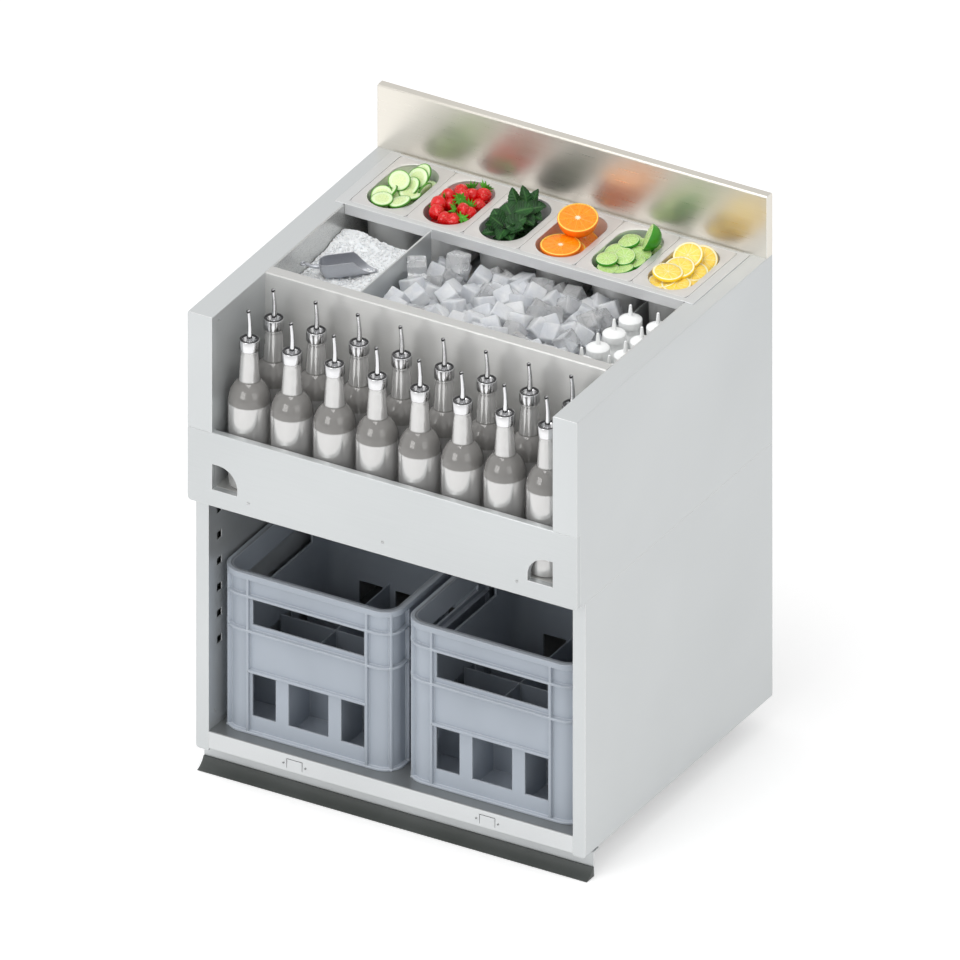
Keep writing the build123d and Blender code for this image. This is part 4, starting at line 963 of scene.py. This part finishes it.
# Orange: one half on top of slices and halves
orange = Form()
cx = cup_places[3]
put_fruit(orange, cx, 1.5, 20, 28, (0.10, -0.24, 1), half_form(37))
put_fruit(orange, cx, 6, 33, -16, (0.42, 0.22, 0.85), half_form(36), 0.72)
put_fruit(orange, cx, 0, -39, -2, (0.02, -0.03, 1), slice_form(36.5, 8))
put_fruit(orange, cx, 3.5, -28, -12, (0.10, 0.02, 1), slice_form(36.5, 8))
fill(orange, cx, 34, 8, (-44, -60, -76), 4, 40, 0.1)
serve(orange, 4, "orange", "orange", [orange_face, orange_rind], "orange_pieces")

# Lime: slices and a half on its side
lime = Form()
cx = cup_places[4]
for dx, dy, rise, normal in (
    (-18, -42, 1, (0.02, -0.12, 1)), (-13, 27, 3, (-0.18, -0.1, 1)), (4, -18, 0, (0.05, -0.35, 0.93)),
    (-24, -4, -5, (-0.1, -0.3, 0.93)), (20, 12, -5, (0.15, -0.15, 1)), (-8, -56, -8, (0.1, 0.0, 1)),
    (17, -46, -8, (-0.25, 0.0, 1)), (25, -14, -9, (-0.3, -0.1, 1)), (8, 44, -8, (0.1, -0.2, 1)),
    (-20, 50, -9, (0.1, -0.1, 1)),
):
    put_fruit(lime, cx, dx, dy, rise, normal, slice_form(19.8, 5))
put_fruit(lime, cx, 20, 36, 19, (-0.80, -0.42, 0.42), half_form(25.5))
fill(lime, cx, 19.8, 5, (-18, -28, -40, -52, -64, -76, -88), 18, 54, 0.15)
serve(lime, 5, "lime", "lime", [lime_face, lime_rind], "lime_pieces")

# Lemon: slices leaning on each other
lemon = Form()
cx = cup_places[5]
for dx, dy, rise, normal in (
    (-5, 24, 12, (0.05, -0.50, 0.85)), (-2, -12, 6, (0.06, -0.22, 0.97)), (-11, -38, 7, (0.10, -0.03, 0.99)),
    (13, -50, -5, (0.02, -0.05, 1)), (-15, -50, -6, (-0.1, -0.05, 1)), (18, 2, -4, (0.14, -0.12, 1)),
    (15, 40, 2, (0.35, -0.50, 0.8)), (17, -28, -8, (0.1, -0.05, 1)), (17, 34, -9, (0.1, -0.2, 1)),
    (-14, 42, -8, (0.0, -0.1, 1)), (-16, -8, -6, (-0.1, -0.1, 1)),
):
    put_fruit(lemon, cx, dx, dy, rise, normal, slice_form(27.5, 5.5))
fill(lemon, cx, 25, 5.5, (-20, -32, -44, -56, -68, -80), 14, 48, 0.12)
serve(lemon, 6, "lemon", "lemon", [lemon_face, lemon_rind], "lemon_slices")

# Crushed ice: a heap with a grainy skin and loose chips on it
ice_front = FRONT + 216
ice_step = FRONT + 464
ice_rear = FRONT + 657
heap_low = -347
heap_high = -171.5
heap_under = 800


def add_bed(form, low, high, tall, finish=0):
    """The frozen block under loose ice, over the whole depth of the well."""
    form.block((high - low, ice_rear - ice_front, tall),
               ((low + high) / 2, (ice_front + ice_rear) / 2, WELL_FLOOR + tall / 2), 4, finish=finish)


def heap_top(x, y):
    """Height of the crushed heap: rising to the rear, with two mounds and small swells."""
    share = (y - ice_front) / (ice_step - ice_front)
    ridge = 894 + 12 * max(0.0, share) ** 2
    ridge += 10 * math.exp(-((x + 312) / 40) ** 2 - ((y - ice_step) / 46) ** 2)
    ridge += 10 * math.exp(-((x + 222) / 44) ** 2 - ((y - FRONT - 350) / 40) ** 2)
    ridge += 4 * noise.noise(Vector((x * 0.03, y * 0.03, 1)))
    ridge += 2.4 * noise.noise(Vector((x * 0.12, y * 0.12, 5)))
    return ridge


crushed = Form()
columns, rows = 58, 82
spots = []
for r in range(rows + 1):
    for c in range(columns + 1):
        x = heap_low + (heap_high - heap_low) * c / columns
        y = ice_front + (ice_step - ice_front) * r / rows
        grain = 2.2 * noise.noise(Vector((x * 0.35, y * 0.35, 9))) + 1.2 * noise.noise(Vector((x, y, 3)) * 0.8)
        spots.append((x, y, heap_top(x, y) + grain))
spots += [(x, y, heap_under) for x, y, z in spots]
crushed.add(spots, two_layers(columns, rows))
CHIP_FORMS = 8
CHIPS = 2300
chips = [lump(0.55, seed * 3.1) for seed in range(CHIP_FORMS)]
for k in range(CHIPS):
    x = rng.uniform(heap_low + 2, heap_high - 2)
    y = rng.uniform(ice_front + 2, ice_step - 4)
    size = rng.uniform(1.4, 3.6)
    place = shift((x, y, heap_top(x, y) + rng.uniform(-0.5, 1.6)))
    place = place @ Matrix.Rotation(rng.uniform(0, 6.3), 4, Vector((rng.random(), rng.random(), 1)))
    squash = Matrix.Diagonal((size, size * rng.uniform(0.6, 1), size * 0.7, 1))
    crushed.add(*chips[k % CHIP_FORMS], place @ squash)
add_bed(crushed, heap_low, heap_high, 118)
crushed.piece("crushed_heap", "station", "ice", [snow], ["crushed_ice"], 60)

# Ice cubes: rounded, slightly uneven, piled high at the front and low at the rear, on a frozen bed
cubes_low = -167
cubes_high = 230.5
CUBE_COLUMNS = 11
CUBE_ROWS = 7
CUBE_FORMS = 6
CUBE_SIZE = (35, 34, 33)
CUBE_EDGE = 3.8
pile = Form()
add_bed(pile, cubes_low, cubes_high, 112, 2)


def cube_level(x, y):
    """Height of the middles of the topmost cubes."""
    share = max(0.0, min(1.0, (y - ice_front) / (ice_step - ice_front)))
    rear = 886 + 20 * math.exp(-((x - 86) / 110) ** 2)
    return 926 + (rear - 926) * share ** 1.1 + 5 * noise.noise(Vector((x * 0.02, y * 0.02, 4)))


cube_seeds = []
for seed in range(CUBE_FORMS):
    points, faces = brick(CUBE_SIZE, CUBE_EDGE, 3)
    drift = Vector((seed * 5, 1, 2))
    cube_seeds.append(([tuple(p * (1 + 0.07 * noise.noise(p * 0.05 + drift))) for p in points], faces))
number = 0
for layer, drop in enumerate((50, 25, 0)):
    for row in range(CUBE_ROWS):
        for column in range(CUBE_COLUMNS):
            share = (column + 0.3 * (row % 2)) / (CUBE_COLUMNS - 0.7)
            x = cubes_low + 20 + (cubes_high - cubes_low - 40) * share
            y = ice_front + 22 + (ice_step - ice_front - 20) * row / (CUBE_ROWS - 1)
            x = max(cubes_low + 25, min(cubes_high - 25, x + rng.uniform(-7, 7)))
            y = max(ice_front + 25, y + rng.uniform(-7, 7))
            if layer == 2 and rng.random() < 0.22 - 0.12 * (row > 3):
                continue
            z = min(cube_level(x, y) - drop + rng.uniform(-5, 6), RIM - 25)
            place = shift((x, y, z)) @ Matrix.Rotation(rng.uniform(0, 6.3), 4, "Z")
            place = place @ Matrix.Rotation(rng.uniform(-0.8, 0.8), 4, "X")
            place = place @ Matrix.Rotation(rng.uniform(-0.8, 0.8), 4, "Y")
            clear = layer > 0 and rng.random() < 0.14 + 0.3 * (row / (CUBE_ROWS - 1)) ** 2
            pile.add(*cube_seeds[number % CUBE_FORMS], place, 1 if clear else 0)
            number += 1

# Single cubes: clear ones on the heap, then cloudy ones along its rear
for finish, twist, start, places in (
    (1, 1.2, 0.3, ((254, 376, 934, 0.2), (298, 446, 924, -0.25), (472, 452, 906, 0.3), (600, 404, 908, -0.2))),
    (0, 2.1, 0.7, ((345, 446, 902, 0.5), (388, 452, 900, -0.4), (430, 440, 904, 0.3), (520, 446, 900, -0.5),
                   (560, 450, 896, 0.3))),
):
    for across, behind, height, lean in places:
        lie = Matrix.Rotation(twist * lean + start, 4, "Z") @ Matrix.Rotation(lean, 4, "X")
        pile.add(*cube_seeds[number % CUBE_FORMS], shift(at(across, behind, height)) @ lie, finish)
        number += 1
pile.piece("ice_cube_pile", "station", "ice", [cloudy_ice, clear_ice, ice_core], ["ice_cubes"], 50)

# Ice scoop: a bowl with a closed back and a pointed open mouth, and a handle with a ring at its end
SCOOP_HALF = 20
SCOOP_DEEP = 36
SCOOP_WALL = 1.5
SCOOP_SIDES = 24
MOUTH_START = 54
MOUTH_LONG = 37
scoop = Form()
stations = [
    (-9, 0.5), (-7.5, 0.66), (-5, 0.8), (-1.5, 0.91), (3, 0.98), (8, 1), (20, 1), (32, 1), (44, 1), (52, 1),
    (58, 1), (65, 0.99), (72, 0.97), (79, 0.94), (86, 0.9), (91, 0.86),
]
rings = []
for s, grow in stations:
    half_turn = math.radians(94 - 82 * (max(0, s - MOUTH_START) / MOUTH_LONG) ** 0.9)
    wide, deep = SCOOP_HALF * grow, SCOOP_DEEP * grow
    outer_side, inner_side = [], []
    for share in shares(SCOOP_SIDES):
        turn = half_turn * (2 * share - 1)
        side, low = wide * math.sin(turn), -deep * math.cos(turn)
        outer_side.append((s, side, low))
        inner_side.append((s, side * (1 - SCOOP_WALL / wide), low * (1 - SCOOP_WALL / deep)))
    rings.append(outer_side + inner_side[::-1])
scoop_place = shift(at(96, 321, 928)) @ spun(28) @ spun(-9, "Y")
scoop.add(*loft(rings), scoop_place)
back = rings[0][:SCOOP_SIDES + 1]
back_ring = [[(x - 0.01, y, z) for x, y, z in back], [(x - 1.2, y * 0.94, z * 0.98) for x, y, z in back]]
scoop.add(*loft(back_ring), scoop_place)
path, radii = [], []
for share in shares(14):
    path.append((-8 - 26 * share, 0, -8 + 9 * share - 3 * math.sin(math.pi * share)))
    radii.append(5.4 - 1.8 * math.sin(math.pi * share / 2))
scoop.add(*tube(path, radii, 18, 0.8), scoop_place)
ring_middle = Vector(path[-1]) + Vector((-4.2, 0, 0.6))
rings = []
for k in range(24):
    outward = Vector((*on_circle(k, 24), 0))
    section = [on_circle(n, 10, 1.8) for n in range(10)]
    rings.append([ring_middle + outward * (4.8 + out) + UP * up for out, up in section])
scoop.add(*loft(rings, looped=True), scoop_place)
scoop.piece("scoop_bowl", "scoop", "scoop_steel", [scoop_finish], ["ice_scoop"], 40)

# Levelling feet
foot_profile = [
    (0, 0), (22.6, 0), (23.8, 0.9), (24, 2), (24, 4.4), (22, 6), (17.5, 8.6), (10, 9.4), (9.2, 12), (9.2, 15),
    (6, 15.4), (6, 81.4), (5.4, 82), (0, 82),
]
for hand, side_name in ((-1, "left"), (1, "right")):
    for behind, end_name in ((112, "front"), (640, "rear")):
        Form().turn(foot_profile, shift((hand * 330, FRONT + behind, 0))).piece(
            f"levelling_foot_{end_name}_{side_name}", f"foot_{end_name}_{side_name}", "foot_steel",
            [foot_finish], [f"foot_{end_name}_{side_name}"], 35)

# Panel screws with low domed heads
screws = Form()
head = [
    (0, -16), (1.5, -16), (1.5, 0.2), (3.0, 0.25), (2.9, 0.6), (2.2, 0.95), (1.0, 1.0), (0.8, 0.55),
    (0, 0.55),
]
for column in (-1, 0, 1):
    screws.turn(head, shift((276 * column, FRONT, 600)) @ spun(90, "X"), sides=28)
screws.piece("domed_screws", "station", "fastener_steel", [screw_finish], ["panel_screws"], 35)


# Bottle crates: a thin shell with windows, bands, ribs, a rim, a hand grip and cell walls
def rounded_rectangle(wide, long, radius, breaks=(), flats=9):
    """Points round a rectangle with round corners, with extra points on its straight sides."""
    points = []
    half_x, half_y = wide / 2, long / 2
    for hand_x, hand_y, start, extras in (
        (1, 1, 0, [(x, half_y) for x in breaks[::-1]]),
        (-1, 1, 90, [(-half_x, y) for y in breaks[::-1]]),
        (-1, -1, 180, [(x, -half_y) for x in breaks]),
        (1, -1, 270, [(half_x, y) for y in breaks]),
    ):
        for k in range(flats + 1):
            turn = math.radians(start + 90 * k / flats)
            points.append((hand_x * (half_x - radius) + radius * math.cos(turn),
                           hand_y * (half_y - radius) + radius * math.sin(turn)))
        points += extras
    return points


CRATE_WIDE = 344
CRATE_LONG = 384
CRATE_TALL = 327.5
CRATE_CORNER = 32
CRATE_WALL = 4
BAND_OUT = 8
RIB_TALL = 321
RIB_MIDDLE = 162.5
RIB_OUT = 2.4
SILL = 128.5
CELL_TALL = 129
CELL_MIDDLE = 68.5
CELL_WALL = 2.5


def crate_form():
    """One crate about its own middle, standing at zero."""
    form = Form()
    side_x, side_y = CRATE_WIDE / 2 + RIB_OUT, CRATE_LONG / 2 + RIB_OUT
    room_x, room_y = CRATE_WIDE - 2 * CRATE_WALL, CRATE_LONG - 2 * CRATE_WALL
    windows = [(-41, 41, 35, 123), (-115, -67, 35, 123), (67, 115, 35, 123), (-114.5, 114.5, 222, 278)]
    breaks = sorted({edge for window in windows for edge in window[:2]})
    levels = [0, CRATE_WALL, 35, 123, 222, 278, CRATE_TALL]
    outer = rounded_rectangle(CRATE_WIDE, CRATE_LONG, CRATE_CORNER, breaks)
    inner = rounded_rectangle(room_x, room_y, CRATE_CORNER - CRATE_WALL, breaks)
    count = len(outer)

    def open_at(k, level):
        if not 0 <= level < len(levels) - 1:
            return True
        (xa, ya), (xb, yb) = outer[k % count], outer[(k + 1) % count]
        if abs(ya - yb) < TINY:
            a, b = sorted((xa, xb))
        elif abs(xa - xb) < TINY:
            a, b = sorted((ya, yb))
        else:
            return False
        return any(left <= a + 0.01 and b <= right + 0.01 and foot <= levels[level] + 0.01
                   and levels[level + 1] <= head + 0.01 for left, right, foot, head in windows)

    spots = [(x, y, z) for outline in (outer, inner) for z in levels for x, y in outline]
    inside = len(levels) * count
    walls = []
    for level in range(len(levels) - 1):
        for k in range(count):
            if open_at(k, level):
                continue
            a, b = level * count + k, level * count + (k + 1) % count
            c, d = b + count, a + count
            walls += [(a, b, c, d), (d + inside, c + inside, b + inside, a + inside)]
            for one, two, free in ((b, c, open_at(k + 1, level)), (d, a, open_at(k - 1, level)),
                                   (a, b, open_at(k, level - 1)), (c, d, open_at(k, level + 1))):
                if free:
                    walls.append((two, one, one + inside, two + inside))
    form.add(spots, walls)
    form.block((CRATE_WIDE - CRATE_WALL, CRATE_LONG - CRATE_WALL, CRATE_WALL), (0, 0, 2.1), 0.8, 1)
    for low, high in ((0, 5), (315.5, CRATE_TALL), (278.5, 283.5), (207.5, 212.5)):
        profile = [(-1.5, low), (BAND_OUT - 0.9, low), (BAND_OUT, low + 0.9), (BAND_OUT, high - 0.9),
                   (BAND_OUT - 0.9, high), (-1.5, high)]
        bands = []
        for grow, z in profile:
            outline = rounded_rectangle(CRATE_WIDE + 2 * grow, CRATE_LONG + 2 * grow, CRATE_CORNER + grow)
            bands.append([(x, y, z) for x, y in outline])
        form.add(*loft(bands, looped=True))
    for hand in (-1, 1):
        for spot in (-122, 122):
            form.block((5, 10, RIB_TALL), (spot, hand * side_y, RIB_MIDDLE), 0.9)
        for spot in (-142, 142):
            form.block((10, 5, RIB_TALL), (hand * side_x, spot, RIB_MIDDLE), 0.9)
        form.block((244, 10, 5), (0, hand * side_y, SILL), 0.9)
        form.block((10, 284, 5), (hand * side_x, 0, SILL), 0.9)
        for side in (-1, 1):
            corner = Vector((hand * (side_x - 9.2), side * (side_y - 9.2), RIB_MIDDLE))
            form.add(*brick((9, 5, RIB_TALL), 0.9), shift(corner) @ spun(45 * hand * side))
        form.block((CELL_WALL, room_y, CELL_TALL), (hand * 54, 0, CELL_MIDDLE), 0.5, 1)
    for spot in (-94, 0, 94):
        form.block((room_x, CELL_WALL, CELL_TALL), (0, spot, CELL_MIDDLE), 0.5, 1)
    return form


for hand, side_name in ((-1, "left"), (1, "right")):
    crate = crate_form()
    stand = Vector((hand * 188.75, FRONT + 56 + 200, 89.5))
    crate.points = [point + stand for point in crate.points]
    crate.piece(f"moulded_crate_{side_name}", f"crate_{side_name}", "crate_plastic", [crate_finish],
                [f"crate_{side_name}"], 30)

# Floor: pale, seen as white, with the object's shadow left on it
FLOOR_HALF = 9
FLOOR_GLOW = 0.34
floor_mesh = bpy.data.meshes.new("floor")
corners = [(x * FLOOR_HALF, y * FLOOR_HALF, -MM) for x, y in ((-1, -1), (1, -1), (1, 1), (-1, 1))]
floor_mesh.from_pydata(corners, [], [(0, 1, 2, 3)])
floor = in_scene("floor", floor_mesh)
floor_material = bpy.data.materials.new("floor_white")
floor_material.use_nodes = True
ground = Nodes(floor_material.node_tree)
ground.tree.nodes.clear()
rays = ground.node("ShaderNodeLightPath").outputs
mirrored = ground.sum("MAXIMUM", rays["Is Glossy Ray"], rays["Is Transmission Ray"])
seen = ground.sum("MAXIMUM", rays["Is Camera Ray"], mirrored)
glow = ground.node("ShaderNodeEmission", {"Strength": ground.times(seen, FLOOR_GLOW)})
matt = ground.node("ShaderNodeBsdfDiffuse", {"Color": (0.86, 0.86, 0.86)})
both = ground.node("ShaderNodeAddShader", {0: glow.outputs[0], 1: matt.outputs[0]})
ground.node("ShaderNodeOutputMaterial", {"Surface": both.outputs[0]})
floor_mesh.materials.append(floor_material)

# World: white for what is seen, a plain soft level for the light and for what is mirrored
SKY_LIGHT = 0.78
world = bpy.data.worlds.new("studio")
bpy.context.scene.world = world
world.use_nodes = True
sky = Nodes(world.node_tree)
sky.tree.nodes.clear()
rays = sky.node("ShaderNodeLightPath").outputs
seen = sky.sum("MAXIMUM", rays["Is Camera Ray"], rays["Is Transmission Ray"])
level = sky.spread(seen, 0.0, 1.0, SKY_LIGHT)
light = sky.node("ShaderNodeBackground", {"Color": (1.0, 1.0, 1.0), "Strength": level})
sky.node("ShaderNodeOutputWorld", {"Surface": light.outputs[0]})


def lamp(name, place, aim, size, watts):
    """A square soft lamp that points at a place."""
    data = bpy.data.lights.new(name, "AREA")
    data.energy = watts
    data.size = size
    made = in_scene(name, data)
    made.location = place
    made.rotation_euler = (Vector(aim) - Vector(place)).to_track_quat("-Z", "Y").to_euler()


lamp("key", (-0.7, -3.0, 1.8), (0, 0, 0.6), 1.4, 17)
lamp("fill", (2.6, -1.8, 1.9), (0, 0, 0.5), 1.6, 7)
lamp("top", (-0.2, -0.7, 3.3), (0, 0, 0.9), 1.6, 26)

# Camera: parallel view from 30 degrees to the right and 30 degrees up
camera_data = bpy.data.cameras.new("camera")
camera_data.type = "ORTHO"
camera_data.ortho_scale = 1.7076
camera_data.clip_end = 30
camera = in_scene("camera", camera_data)
target = Vector((0, 0, 0.5545))
towards = Vector((0.4330127, -0.75, 0.5))
camera.location = target + towards * 6
camera.rotation_euler = (-towards).to_track_quat("-Z", "Y").to_euler()
bpy.context.scene.camera = camera
bpy.context.scene.view_settings.view_transform = "Standard"

bpy.context.view_layer.update()
